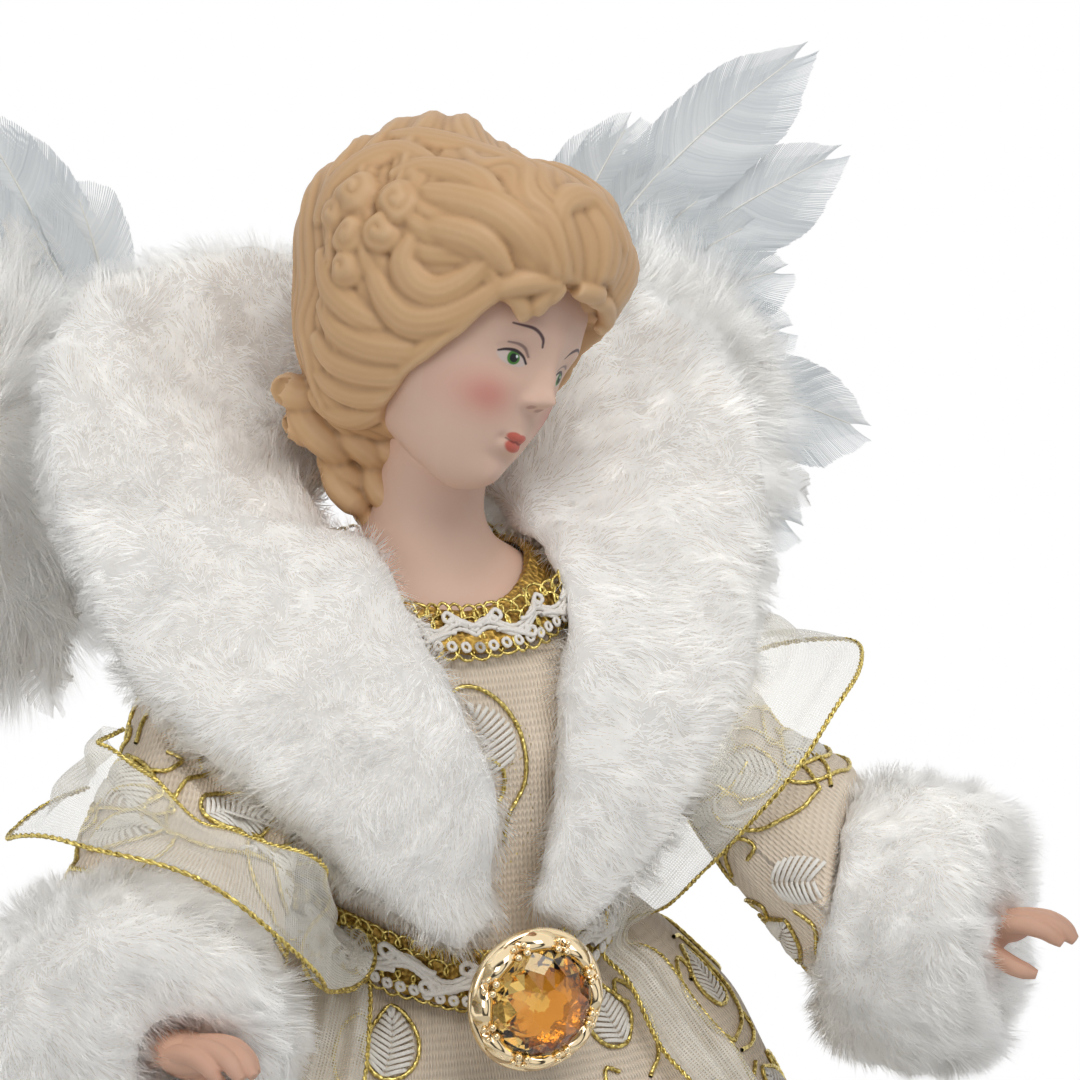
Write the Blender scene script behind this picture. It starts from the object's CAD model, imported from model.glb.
# %% [markdown]
# # A tree-top angel in bisque, brocade, plush and feathers
#
# The angel is an assembly: a porcelain head on a foam torso, a dress over a card cone, wired arms with
# plush cuffs, and wings of real feather shapes. The CAD model holds the sizes, the joints and the
# collision, and this script gives every visible surface its look.
#
# Work goes from the tools to the head, which the eye meets first, and then outwards: collar, dress,
# braids, brooch, arms, sashes and wings. All lengths are in millimetres and become metres at one place.

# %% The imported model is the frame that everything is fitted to
import math
import bmesh
import bpy
import numpy as np
from mathutils import Matrix, Vector
from mathutils.bvhtree import BVHTree


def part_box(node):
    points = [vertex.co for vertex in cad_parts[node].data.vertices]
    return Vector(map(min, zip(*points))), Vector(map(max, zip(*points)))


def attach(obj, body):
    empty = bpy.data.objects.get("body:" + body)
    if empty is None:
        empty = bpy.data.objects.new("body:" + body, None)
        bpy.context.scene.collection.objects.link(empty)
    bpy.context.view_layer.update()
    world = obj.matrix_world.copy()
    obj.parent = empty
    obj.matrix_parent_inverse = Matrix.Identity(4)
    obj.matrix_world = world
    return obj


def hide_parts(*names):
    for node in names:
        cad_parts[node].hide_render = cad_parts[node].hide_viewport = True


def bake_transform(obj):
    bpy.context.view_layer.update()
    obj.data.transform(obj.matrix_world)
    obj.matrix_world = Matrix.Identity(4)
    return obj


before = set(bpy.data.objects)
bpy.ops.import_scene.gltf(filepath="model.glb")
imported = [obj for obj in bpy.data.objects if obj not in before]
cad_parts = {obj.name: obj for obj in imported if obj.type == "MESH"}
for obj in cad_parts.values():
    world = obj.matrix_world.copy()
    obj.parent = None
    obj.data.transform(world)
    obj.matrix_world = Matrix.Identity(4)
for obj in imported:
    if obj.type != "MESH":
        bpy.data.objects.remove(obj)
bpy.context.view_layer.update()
MM = 0.001
rng = np.random.default_rng(7)

# %% [markdown]
# ## Camera and light
#
# The photograph looks a little down on the figure's right shoulder from close by. The camera was
# worked out from the head, the brooch and the cuffs, so pixels of the photograph can be turned into
# rays. Those rays place small features on the surfaces that carry them.

# %% Camera
AZIMUTH = math.radians(-25)
ELEVATION = math.radians(8)
DISTANCE = 480
LOOK_AT = np.array([17.2, -8.0, 316.0])
HALF_ANGLE = math.radians(10.33)
PHOTO_HALF = 540

view_right = np.array([math.cos(AZIMUTH), math.sin(AZIMUTH), 0])
view_ahead = np.array([
    -math.sin(AZIMUTH) * math.cos(ELEVATION),
    math.cos(AZIMUTH) * math.cos(ELEVATION),
    -math.sin(ELEVATION),
])
view_up = np.cross(view_right, view_ahead)
eye = LOOK_AT - DISTANCE * view_ahead

SENSOR_WIDTH = 36
camera_data = bpy.data.cameras.new("camera")
camera_data.sensor_width = SENSOR_WIDTH
camera_data.lens = SENSOR_WIDTH / 2 / math.tan(HALF_ANGLE)
camera_data.clip_start = 0.01
camera_data.clip_end = 50
camera = bpy.data.objects.new("camera", camera_data)
camera.location = Vector(eye * MM)
camera.rotation_euler = Vector(view_ahead).to_track_quat("-Z", "Y").to_euler()
bpy.context.scene.collection.objects.link(camera)
bpy.context.scene.camera = camera


def photo_ray(x, y):
    """Direction of the ray through a pixel of the photograph."""
    reach = PHOTO_HALF / math.tan(HALF_ANGLE)
    ray = view_ahead + view_right * (x - PHOTO_HALF) / reach - view_up * (y - PHOTO_HALF) / reach
    return ray / np.linalg.norm(ray)


print("camera at", np.round(eye), "mm")

# %% Light: a white studio
def add_node(look, kind, **settings):
    """A node of a material or the world, with its settings and the values of its sockets."""
    node = look.node_tree.nodes.new(kind)
    for key, value in settings.items():
        if hasattr(node, key):
            setattr(node, key, value)
        else:
            node.inputs[key.replace("_", " ")].default_value = value
    return node


def wire(look, source, target):
    look.node_tree.links.new(source, target)


scene = bpy.context.scene
scene.view_settings.view_transform = "Standard"
scene.view_settings.look = "None"
world = bpy.data.worlds.new("studio")
scene.world = world
world.use_nodes = True
world.node_tree.nodes.clear()
SHINE = 0.4
seen = add_node(world, "ShaderNodeBackground", Color=(1, 1, 1, 1), Strength=1.0)
shine = add_node(world, "ShaderNodeBackground", Color=(0.93, 0.96, 1.0, 1), Strength=SHINE)
# polished metal mirrors the room: white all round, and dark where the photographer stands
mirrored = add_node(world, "ShaderNodeBackground")
to_photographer = add_node(world, "ShaderNodeVectorMath", operation="DOT_PRODUCT")
to_photographer.inputs[1].default_value = Vector(-view_ahead)
wire(world, add_node(world, "ShaderNodeTexCoord").outputs["Generated"], to_photographer.inputs[0])
dark_room = add_node(world, "ShaderNodeValToRGB")
ROOM_TONES = ((0.0, 1.0), (0.52, 1.0), (0.62, 0.1), (0.8, 0.05), (0.86, 0.75), (1.0, 0.6))
for stop, tone in ROOM_TONES:
    element = dark_room.color_ramp.elements.new(stop)
    element.color = (tone, tone, tone, 1)
for _ in range(2):
    dark_room.color_ramp.elements.remove(dark_room.color_ramp.elements[0])
wire(world, to_photographer.outputs["Value"], dark_room.inputs["Fac"])
wire(world, dark_room.outputs["Color"], mirrored.inputs["Color"])
path = add_node(world, "ShaderNodeLightPath")
previous = shine.outputs["Background"]
for ray, background in (("Is Glossy Ray", mirrored), ("Is Transmission Ray", seen), ("Is Camera Ray", seen)):
    choose = add_node(world, "ShaderNodeMixShader")
    wire(world, path.outputs[ray], choose.inputs["Fac"])
    wire(world, previous, choose.inputs[1])
    wire(world, background.outputs["Background"], choose.inputs[2])
    previous = choose.outputs["Shader"]
wire(world, previous, add_node(world, "ShaderNodeOutputWorld").inputs["Surface"])
print("light of the white room", SHINE)


# %% A broad lamp above, a weaker one from the camera's side, and a pale round floor
def new_object(name, data):
    obj = bpy.data.objects.new(name, data)
    scene.collection.objects.link(obj)
    return obj


CHEST_AT = Vector((0, 0, 310))
LAMPS = [
    # name, place, width, power, colour
    ("top_lamp", (60, -560, 1020), 520, 3.4, (1.0, 0.99, 0.97)),
    ("side_lamp", (-750, -560, 560), 420, 1.7, (0.98, 0.985, 1.0)),
]
for name, place, width, power, colour in LAMPS:
    data = bpy.data.lights.new(name, "AREA")
    data.size = width * MM
    data.energy = power
    data.color = colour
    lamp = new_object(name, data)
    lamp.location = Vector(place) * MM
    lamp.rotation_euler = (CHEST_AT - Vector(place)).to_track_quat("-Z", "Y").to_euler()

FLOOR_RADIUS = 420
FLOOR_SIDES = 64
floor_angles = np.linspace(0, 2 * math.pi, FLOOR_SIDES, endpoint=False)
floor_mesh = bpy.data.meshes.new("floor")
floor_mesh.from_pydata(
    [(FLOOR_RADIUS * MM * math.cos(a), FLOOR_RADIUS * MM * math.sin(a), 0) for a in floor_angles],
    [],
    [list(range(FLOOR_SIDES))],
)
floor = new_object("floor", floor_mesh)
pale = bpy.data.materials.new("pale_floor")
pale.use_nodes = True
pale.node_tree.nodes["Principled BSDF"].inputs["Base Color"].default_value = (0.86, 0.86, 0.86, 1)
pale.node_tree.nodes["Principled BSDF"].inputs["Roughness"].default_value = 0.9
floor_mesh.materials.append(pale)
print("lamps", len(LAMPS))

# %% [markdown]
# ## Tools
#
# Three kinds of helper do most of the work: smooth noise on points, meshes from arrays, and materials
# made of a few nodes. Arrays keep three hundred thousand hairs quick to make.

# %% Noise, smooth steps and colours
def lattice(cells, seed):
    """A repeatable number from -1 to 1 for each whole cell."""
    mixed = cells[..., 0] * 374761393 + cells[..., 1] * 668265263 + cells[..., 2] * 2147483647 + seed * 144269
    mixed = (mixed ^ (mixed >> 13)) * 1274126177
    mixed = mixed ^ (mixed >> 16)
    return (mixed & 0xFFFF) / 32767.5 - 1


def noise(points, size, seed):
    """Smooth noise from -1 to 1 at points, with features about as large as size."""
    scaled = np.asarray(points, float) / size
    low = np.floor(scaled).astype(np.int64)
    part = scaled - low
    part = part * part * (3 - 2 * part)
    total = 0
    for corner in range(8):
        bits = np.array([corner & 1, (corner >> 1) & 1, (corner >> 2) & 1])
        weight = np.prod(np.where(bits, part, 1 - part), axis=-1)
        total = total + weight * lattice(low + bits, seed)
    return total


def noise3(points, size, seed):
    return np.stack([noise(points, size, seed + 11 * k) for k in range(3)], axis=-1)


def smoothstep(value, low, high):
    part = np.clip((value - low) / (high - low), 0, 1)
    return part * part * (3 - 2 * part)


def linear(red, green, blue):
    """A colour given as 0 to 255, as it is seen, in the renderer's own scale."""
    shown = np.array([red, green, blue]) / 255
    return np.where(shown <= 0.04045, shown / 12.92, ((shown + 0.055) / 1.055) ** 2.4)


def unit(vectors):
    return vectors / np.maximum(np.linalg.norm(vectors, axis=-1, keepdims=True), 1e-9)


# %% Meshes from arrays
def add_mesh(name, points, faces):
    """A mesh object from points in millimetres and an array of faces with equally many corners."""
    points = np.asarray(points, float).reshape(-1, 3)
    faces = np.asarray(faces, np.int64)
    mesh = bpy.data.meshes.new(name)
    mesh.vertices.add(len(points))
    mesh.vertices.foreach_set("co", (points * MM).astype(np.float32).ravel())
    mesh.loops.add(faces.size)
    mesh.loops.foreach_set("vertex_index", faces.astype(np.int32).ravel())
    mesh.polygons.add(len(faces))
    mesh.polygons.foreach_set("loop_start", np.arange(0, faces.size, faces.shape[1], dtype=np.int32))
    mesh.polygons.foreach_set("use_smooth", np.ones(len(faces), bool))
    mesh.update(calc_edges=True)
    mesh.validate()
    return new_object(name, mesh)


def read(items, field, width, kind=np.float32):
    """An array of a mesh's own numbers, with a row for each item."""
    flat = np.zeros(len(items) * width, kind)
    items.foreach_get(field, flat)
    return flat.reshape(-1, width)


def mesh_points(obj):
    """The object's points in millimetres."""
    return read(obj.data.vertices, "co", 3).astype(float) / MM


def set_points(obj, points):
    obj.data.vertices.foreach_set("co", (np.asarray(points) * MM).astype(np.float32).ravel())
    obj.data.update()


def point_normals(obj):
    return read(obj.data.vertices, "normal", 3).astype(float)


def grid_faces(rows, columns, closed=True):
    """Quads over a grid of points in rows. A closed grid joins the last column to the first."""
    across = np.arange(columns if closed else columns - 1)
    row, column = np.meshgrid(np.arange(rows - 1), across, indexing="ij")
    after = (column + 1) % columns
    here = row * columns
    above = here + columns
    return np.stack([here + column, here + after, above + after, above + column], axis=-1).reshape(-1, 4)


def place(points, matrix):
    matrix = np.array(matrix)
    return points @ matrix[:3, :3].T + matrix[:3, 3]


def ball(name, middle, half, columns, rows):
    """A sphere stretched to its half sizes."""
    build = bmesh.new()
    bmesh.ops.create_uvsphere(build, u_segments=columns, v_segments=rows, radius=1.0)
    bmesh.ops.scale(build, verts=build.verts, vec=Vector(half) * MM)
    bmesh.ops.translate(build, verts=build.verts, vec=Vector(middle) * MM)
    mesh = bpy.data.meshes.new(name)
    build.to_mesh(mesh)
    build.free()
    return new_object(name, mesh)


def join(name, objects):
    """One object from several, without the operators that need a selection."""
    points = []
    faces = []
    start = 0
    for obj in objects:
        own = mesh_points(obj)
        points.append(own)
        faces += [[start + i for i in face.vertices] for face in obj.data.polygons]
        start += len(own)
        bpy.data.objects.remove(obj)
    mesh = bpy.data.meshes.new(name)
    mesh.from_pydata((np.concatenate(points) * MM).tolist(), [], faces)
    mesh.update()
    return new_object(name, mesh)


def remesh(obj, voxel, smoothing):
    """One closed skin round everything in the object, with even faces of about the voxel's size."""
    step = obj.modifiers.new("skin", "REMESH")
    step.mode = "VOXEL"
    step.voxel_size = voxel * MM
    step.use_smooth_shade = True
    ease = obj.modifiers.new("ease", "SMOOTH")
    ease.factor = 0.5
    ease.iterations = smoothing
    graph = bpy.context.evaluated_depsgraph_get()
    mesh = bpy.data.meshes.new_from_object(obj.evaluated_get(graph))
    obj.modifiers.clear()
    obj.data = mesh
    return obj


def paint(obj, name, values, kind="FLOAT", field="value"):
    """Stores a number, or a row of them, for each point, for the material to read."""
    layer = obj.data.attributes.new(name, kind, "POINT")
    layer.data.foreach_set(field, np.asarray(values, np.float32).ravel())


def hollows(obj, rounds, depth):
    """How deep each point lies in a groove, from 0 on a ridge to 1 in a groove, over a few faces."""
    points = mesh_points(obj)
    normals = point_normals(obj)
    ends = read(obj.data.edges, "vertices", 2, np.int32)
    count = np.bincount(ends.ravel(), minlength=len(points)).astype(float)[:, None]
    eased = points.copy()
    for _ in range(rounds):
        total = np.zeros_like(eased)
        for axis in range(3):
            for near, far in ((0, 1), (1, 0)):
                total[:, axis] += np.bincount(ends[:, near], eased[ends[:, far], axis], len(points))
        eased = total / np.maximum(count, 1)
    sunk = ((eased - points) * normals).sum(axis=1)
    return np.clip(0.5 + sunk / (2 * depth), 0, 1)


# %% Materials made of nodes
def new_material(name, roughness, **sockets):
    """A Principled material, with its constant values on the shader's own sockets."""
    look = bpy.data.materials.new(name)
    look.use_nodes = True
    shader = look.node_tree.nodes["Principled BSDF"]
    shader.inputs["Roughness"].default_value = roughness
    for socket, value in sockets.items():
        shader.inputs[socket.replace("_", " ")].default_value = value
    return look


def shader_of(look):
    return look.node_tree.nodes["Principled BSDF"]


def object_place(look):
    return add_node(look, "ShaderNodeTexCoord").outputs["Object"]


def painted(look, name, output="Fac"):
    """What paint stored on the points under this name."""
    return add_node(look, "ShaderNodeAttribute", attribute_name=name).outputs[output]


def two_tones(look, factor, dark, light):
    """The base colour runs between two tones by a factor from 0 to 1."""
    ramp = add_node(look, "ShaderNodeMix", data_type="RGBA")
    wire(look, factor, ramp.inputs["Factor"])
    for key, tone in (("A", linear(*dark)), ("B", linear(*light))):
        for socket in ramp.inputs:
            if socket.name == key and socket.type == "RGBA":
                socket.default_value = (*tone, 1)
    colour = [socket for socket in ramp.outputs if socket.type == "RGBA"][0]
    wire(look, colour, shader_of(look).inputs["Base Color"])
    return colour


def bump(look, height, strength, depth_mm):
    node = add_node(look, "ShaderNodeBump", Strength=strength, Distance=depth_mm * MM)
    wire(look, height, node.inputs["Height"])
    wire(look, node.outputs["Normal"], shader_of(look).inputs["Normal"])


def noise_texture(look, per_mm, detail):
    node = add_node(look, "ShaderNodeTexNoise", Scale=per_mm / MM, Detail=detail)
    wire(look, object_place(look), node.inputs["Vector"])
    return node.outputs["Fac"]


def mottled(name, roughness, dark, light, mottle, relief=None, **sockets):
    """A material whose tone and relief are noise: mottle is per millimetre and detail, relief too,
    with the bump's strength and depth after them."""
    look = new_material(name, roughness, **sockets)
    two_tones(look, noise_texture(look, *mottle), dark, light)
    if relief:
        bump(look, noise_texture(look, *relief[:2]), *relief[2:])
    return look


def finish_piece(obj, body, look, replaces=()):
    """The piece's material, the body it rides on and the CAD nodes it stands for.

    Cloth over a joint is given no body here, because it is blended between two."""
    obj.data.materials.clear()
    obj.data.materials.append(look)
    if body:
        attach(obj, body)
    if replaces:
        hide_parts(*replaces)
    return obj


# %% [markdown]
# ## The porcelain head
#
# A doll's head of this kind is slip-cast in one piece, hair and all, fired unglazed and then painted.
# Its hair is a rounded mass first and locks second, so the mass is a few ellipsoids that flow into one
# another. Combed waves, locks and pinned curls are heights raised on it, and only the curls on the brow
# and the ringlets are tubes. One even skin over everything gives the soft look of a casting.

# %% Where the head sits and how it is turned
HEAD_AT = Vector((3.4, -6.8, 351))
HEAD_PLACE = (
    Matrix.Translation(HEAD_AT)
    @ Matrix.Rotation(math.radians(27), 4, "Z")
    @ Matrix.Rotation(math.radians(15), 4, "X")
    @ Matrix.Rotation(math.radians(19), 4, "Y")
)
HEAD_BACK = np.array(HEAD_PLACE.inverted())


def head_ray(x, y):
    """The ray through a pixel of the photograph, as start and direction in the head's own frame."""
    start = HEAD_BACK[:3, :3] @ eye + HEAD_BACK[:3, 3]
    return start, HEAD_BACK[:3, :3] @ photo_ray(x, y)


# %% The hair's mass: crown, bun, brow roll, nape and sides as ellipsoids, each a middle and three half sizes
HAIR_MASSES = np.array([
    [-1.5, 6.2, 9.2, 22.1, 24.6, 16.5],
    [0.2, 14.2, 17.1, 13.6, 12.8, 13.9],
    [-0.8, -8.9, 16.6, 18.3, 14.0, 11.7],
    [1.3, 10.8, -8.6, 15.8, 10.8, 13.4],
    [0.0, 2.6, -2.0, 19.4, 22.2, 17.0],
])
HAIR_MIDDLE = np.array([0, 3.0, 6.0])
HAIR_FLOW = 3.0


def hair_depth(points):
    """How far points lie outside the hair's mass, about in millimetres, with soft joins."""
    away = np.array([
        (np.linalg.norm((points - mass[:3]) / mass[3:], axis=-1) - 1) * mass[3:].min()
        for mass in HAIR_MASSES
    ])
    least = away.min(axis=0)
    return least - HAIR_FLOW * np.log(np.exp(-(away - least) / HAIR_FLOW).sum(axis=0))


def hair_reach(directions, middle):
    """Distance from the middle to the hair's surface along each direction."""
    near = np.full(directions.shape[:-1], 2.0)
    far = np.full(directions.shape[:-1], 45.0)
    for _ in range(22):
        half = (near + far) / 2
        inside = hair_depth(middle + directions * half[..., None]) < 0
        near = np.where(inside, half, near)
        far = np.where(inside, far, half)
    return near


def on_hair(x, y, lift=0.0):
    """The point of the hair's mass that a pixel of the photograph shows, in the head's frame."""
    start, ray = head_ray(x, y)
    along = np.linspace(430, 540, 441)
    trail = start + ray * along[:, None]
    away = hair_depth(trail)
    first = np.argmax(away < 0) if (away < 0).any() else np.argmin(away)
    spot = trail[first]
    outward = spot - HAIR_MIDDLE
    return spot + outward / np.linalg.norm(outward) * lift


# %% The hairline, as a height for each turn about the head: above it there is hair
HAIRLINE_TURNS = np.radians([
    -180, -125, -99, -80, -71, -61, -51, -45, -39, -32, -20,
    -4, 10, 26, 39, 51, 61, 71, 80, 99, 125, 180,
])
HAIRLINE_HEIGHTS = np.array([
    -34, -30, -21, -16.5, -12.6, -8.2, -2.6, 3.0, 6.9, 9.4, 11.4,
    12.6, 11.8, 9.6, 6.9, -2, -8, -12.6, -16.5, -21, -30, -34.0,
])


def hairline_gap(points):
    """How far points lie above the hairline. Below it the number is negative."""
    turn = np.arctan2(points[..., 0], -points[..., 1])
    return points[..., 2] - np.interp(turn, HAIRLINE_TURNS, HAIRLINE_HEIGHTS)


# %% Combed hair: soft waves along lines from the brow to the back of the head
def combed(points):
    """Height of the combed hair over its mass."""
    bent = points + 3.0 * noise3(points, 13, seed=3)
    lift = bent[..., 2] - 7.0 - 0.25 * (bent[..., 1] + 10)
    # behind the head the locks wind round the bun
    wound = 0.075 * np.maximum(bent[..., 1] - 4, 0)
    waved = 0.09 * np.sin(bent[..., 1] / 2.6 + 2.5 * noise(points, 15, seed=14))
    turn = np.arctan2(lift, bent[..., 0] + 1.5) + wound + waved
    wave = np.sin(turn * 9 + 2.0 * noise(points, 13, seed=8))
    middling = np.abs(np.sin(turn * 19 + 2.0 * noise(points, 10, seed=6)))
    fine = np.abs(np.sin(turn * 52 + 1.5 * noise(points, 9, seed=9)))
    strong = 0.8 + 0.5 * noise(points, 10, seed=4)
    ahead = 0.5 + 0.5 * smoothstep(-bent[..., 1], 4, 16)
    return strong * (0.62 * wave + 0.5 * (middling ** 0.6 - 0.6)) + 0.24 * ahead * (fine ** 0.7 - 0.6)


FAR = 99.0
BELOW = -9
LOCK_GROOVE = 1.25
CURL_GROOVE = 2.3


def lock_height(points, line, wide, tall):
    """A moulded lock: full along its middle, thin at its ends, with fine grooves along it."""
    away = np.full(points.shape[:-1], FAR)
    way = np.zeros(points.shape[:-1])
    for k, spot in enumerate(line):
        gap = np.linalg.norm(points - spot, axis=-1)
        way = np.where(gap < away, k / (len(line) - 1), way)
        away = np.minimum(gap, away)
    swell = np.sin(math.pi * (0.08 + 0.84 * way)) ** 0.6
    share = away / (wide * swell)
    groove = 0.1 * np.cos(away * 2 * math.pi / LOCK_GROOVE)
    arch = np.clip(1 - share ** 2, 0, 1) ** 0.75
    return np.where(share < 1, (0.86 * swell * tall + groove) * arch, BELOW)


def curl_height(points, middle, wide, tall, turned):
    """A pinned curl: a round lump with a groove that winds in to its middle."""
    outward = unit(middle - HAIR_MIDDLE)
    across = unit(np.cross(outward, [0, 0.3, 1]))
    upward = np.cross(across, outward)
    offset = points - middle + 0.9 * noise3(points, 3.5, seed=33)
    away = np.linalg.norm(offset, axis=-1)
    angle = np.arctan2(offset @ upward, offset @ across)
    wind = np.abs(np.sin(angle / 2 + away * math.pi / CURL_GROOVE + turned)) ** 0.5
    share = away / wide
    return np.where(share < 1, (tall - 0.9 + 0.7 * wind) * np.clip(1 - share ** 2, 0, 1) ** 0.6, BELOW)


def smooth_line(points, count):
    """Evenly many points on a smooth curve through the given ones."""
    points = np.asarray(points, float)
    ends = np.concatenate([[2 * points[0] - points[1]], points, [2 * points[-1] - points[-2]]])
    way = np.linspace(0, len(points) - 1 - 1e-9, count)
    slot = way.astype(int)
    t = (way - slot)[:, None]
    a, b, c, d = (ends[slot + k] for k in range(4))
    squared = (2 * a - 5 * b + 4 * c - d) * t ** 2
    return 0.5 * (2 * b + (c - a) * t + squared + (3 * b - a - 3 * c + d) * t ** 3)


# %% Locks and curls that the photograph shows singly: pixels, half width, height
LOCK_PIXELS = [
    ([(516, 282), (488, 300), (460, 324), (432, 346), (406, 370), (392, 398)], 2.6, 1.5),
    ([(506, 284), (470, 306), (440, 318), (410, 318), (388, 300), (372, 272)], 3.4, 2.0),
    ([(486, 262), (462, 284), (436, 294), (414, 284), (404, 262), (410, 240)], 3.0, 1.7),
    ([(506, 268), (482, 244), (452, 232), (424, 226)], 3.0, 1.6),
    ([(545, 262), (524, 232), (492, 208), (452, 196), (420, 190)], 3.2, 1.5),
    ([(424, 352), (400, 350), (368, 344), (340, 330), (322, 306)], 3.2, 1.8),
    ([(410, 372), (392, 374), (360, 370), (334, 360), (316, 340)], 3.0, 1.7),
    ([(398, 394), (386, 396), (360, 396), (336, 388), (318, 374)], 2.8, 1.6),
    ([(380, 326), (356, 312), (332, 288), (320, 256)], 3.0, 1.7),
    ([(430, 160), (400, 150), (370, 158), (340, 180), (318, 216)], 3.4, 1.5),
    ([(530, 170), (480, 150), (440, 140), (396, 134)], 3.4, 1.3),
    ([(508, 212), (470, 176), (430, 166), (396, 172)], 3.0, 1.3),
    ([(556, 224), (566, 200), (590, 196), (610, 216), (626, 248)], 2.6, 1.1),
    ([(380, 412), (356, 420), (330, 412), (308, 396)], 2.6, 1.5),
]
CURL_PIXELS = [
    (356, 196, 4.2, 2.6),
    (398, 200, 3.8, 2.4),
    (352, 236, 3.2, 2.2),
    (350, 268, 3.2, 2.2),
    (382, 232, 3.0, 2.0),
    (336, 214, 2.8, 1.8),
]
LOCK_STEPS = 40
moulded_locks = []
for pixels, wide, tall in LOCK_PIXELS:
    moulded_locks.append((smooth_line([on_hair(x, y) for x, y in pixels], LOCK_STEPS), wide, tall))
print("locks", len(LOCK_PIXELS), "pinned curls", len(CURL_PIXELS))

# %% The hair's surface, with everything that is moulded on it
HAIR_COLUMNS = 480
HAIR_ROWS = 340


def hair_skin(columns, rows):
    turn = np.linspace(-math.pi, math.pi, columns, endpoint=False)
    rise = np.linspace(-0.5 * math.pi + 1e-4, 0.5 * math.pi - 1e-4, rows)
    rise, turn = np.meshgrid(rise, turn, indexing="ij")
    directions = np.stack([np.sin(turn) * np.cos(rise), -np.cos(turn) * np.cos(rise), np.sin(rise)], axis=-1)
    reach = hair_reach(directions, HAIR_MIDDLE)
    skin = HAIR_MIDDLE + directions * reach[..., None]
    edge = hairline_gap(skin) + 1.3 * noise(skin, 4.5, seed=12)
    lift = combed(skin)
    for line, wide, tall in moulded_locks:
        lift = np.maximum(lift, lock_height(skin, line, wide, tall))
    for x, y, wide, tall in CURL_PIXELS:
        lift = np.maximum(lift, curl_height(skin, on_hair(x, y), wide, tall, x * 0.21))
    reach = reach + lift * smoothstep(edge, -0.5, 3.0)
    reach = reach * (0.55 + 0.45 * np.sqrt(smoothstep(edge, -1.2, 1.6)))
    return (HAIR_MIDDLE + directions * reach[..., None]).reshape(-1, 3)


hair_faces = grid_faces(HAIR_ROWS, HAIR_COLUMNS)
hair_mass = add_mesh("hair_mass", hair_skin(HAIR_COLUMNS, HAIR_ROWS), hair_faces)
print("faces of the hair's mass", len(hair_faces))


# %% Tubes that taper, for curls, ringlets and fingers
def line_frames(line):
    """Two directions across the line at each point, carried along it without a twist."""
    along = unit(np.gradient(line, axis=0))
    side = np.zeros_like(line)
    start = np.cross(along[0], [0.31, 0.77, 0.55])
    side[0] = start / np.linalg.norm(start)
    for i in range(1, len(line)):
        kept = side[i - 1] - along[i] * side[i - 1].dot(along[i])
        side[i] = kept / np.linalg.norm(kept)
    return side, np.cross(along, side)


def tube_points(line, radii, sides):
    side, up = line_frames(line)
    angle = 2 * math.pi * np.arange(sides) / sides
    rings = side[:, None] * np.cos(angle)[None, :, None] + up[:, None] * np.sin(angle)[None, :, None]
    return (line[:, None] + rings * np.asarray(radii)[:, None, None]).reshape(-1, 3)


def tube(name, line, radii, sides=12):
    """A closed tube along a line, with its own radius at each point."""
    line = np.asarray(line, float)
    points = tube_points(line, radii, sides)
    faces = grid_faces(len(line), sides).tolist()
    points = np.concatenate([points, line[:1], line[-1:]])
    start = len(points) - 2
    last = (len(line) - 1) * sides
    for k in range(sides):
        after = (k + 1) % sides
        faces.append([start, after, k, k])
        faces.append([start + 1, last + k, last + after, last + after])
    mesh = bpy.data.meshes.new(name)
    mesh.from_pydata((points * MM).tolist(), [], [f if f[2] != f[3] else f[:3] for f in faces])
    mesh.update()
    return new_object(name, mesh)


# %% Small curls that fall on the brow
BROW_CURLS = [
    # pixels along the curl, radius
    ([(506, 292), (520, 300), (526, 312), (518, 318)], 1.7),
    ([(556, 282), (546, 296), (538, 308), (534, 314)], 1.9),
    ([(566, 284), (556, 294), (548, 302)], 1.6),
    ([(596, 300), (610, 306), (612, 322), (602, 334)], 1.5),
    ([(498, 290), (516, 284), (536, 281), (562, 284)], 2.3),
    ([(580, 288), (594, 292), (606, 296)], 2.0),
]

BROW_STEPS = 30
BROW_SUNK = -0.9
hair_parts = [hair_mass]
brow_swell = np.sin(np.linspace(0.2, 0.85, BROW_STEPS) * math.pi) ** 0.5
for pixels, radius in BROW_CURLS:
    line = smooth_line([on_hair(x, y, BROW_SUNK) for x, y in pixels], BROW_STEPS)
    hair_parts.append(tube("brow_curl", line, radius * brow_swell))
print("brow curls", len(BROW_CURLS))


# %% Ringlets at the nape, which fall over the collar on the figure's right
def to_head(points):
    return np.asarray(points, float) @ HEAD_BACK[:3, :3].T + HEAD_BACK[:3, 3]


RINGLET_STEPS = 90


def ringlet_line(start, end, around, turns):
    way = np.linspace(0, 1, RINGLET_STEPS)[:, None]
    line = np.asarray(start) * (1 - way) + np.asarray(end) * way
    angle = 2 * math.pi * turns * way
    return line + around * np.concatenate([np.cos(angle), np.sin(angle), 0.3 * np.sin(angle)], axis=1)


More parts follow.
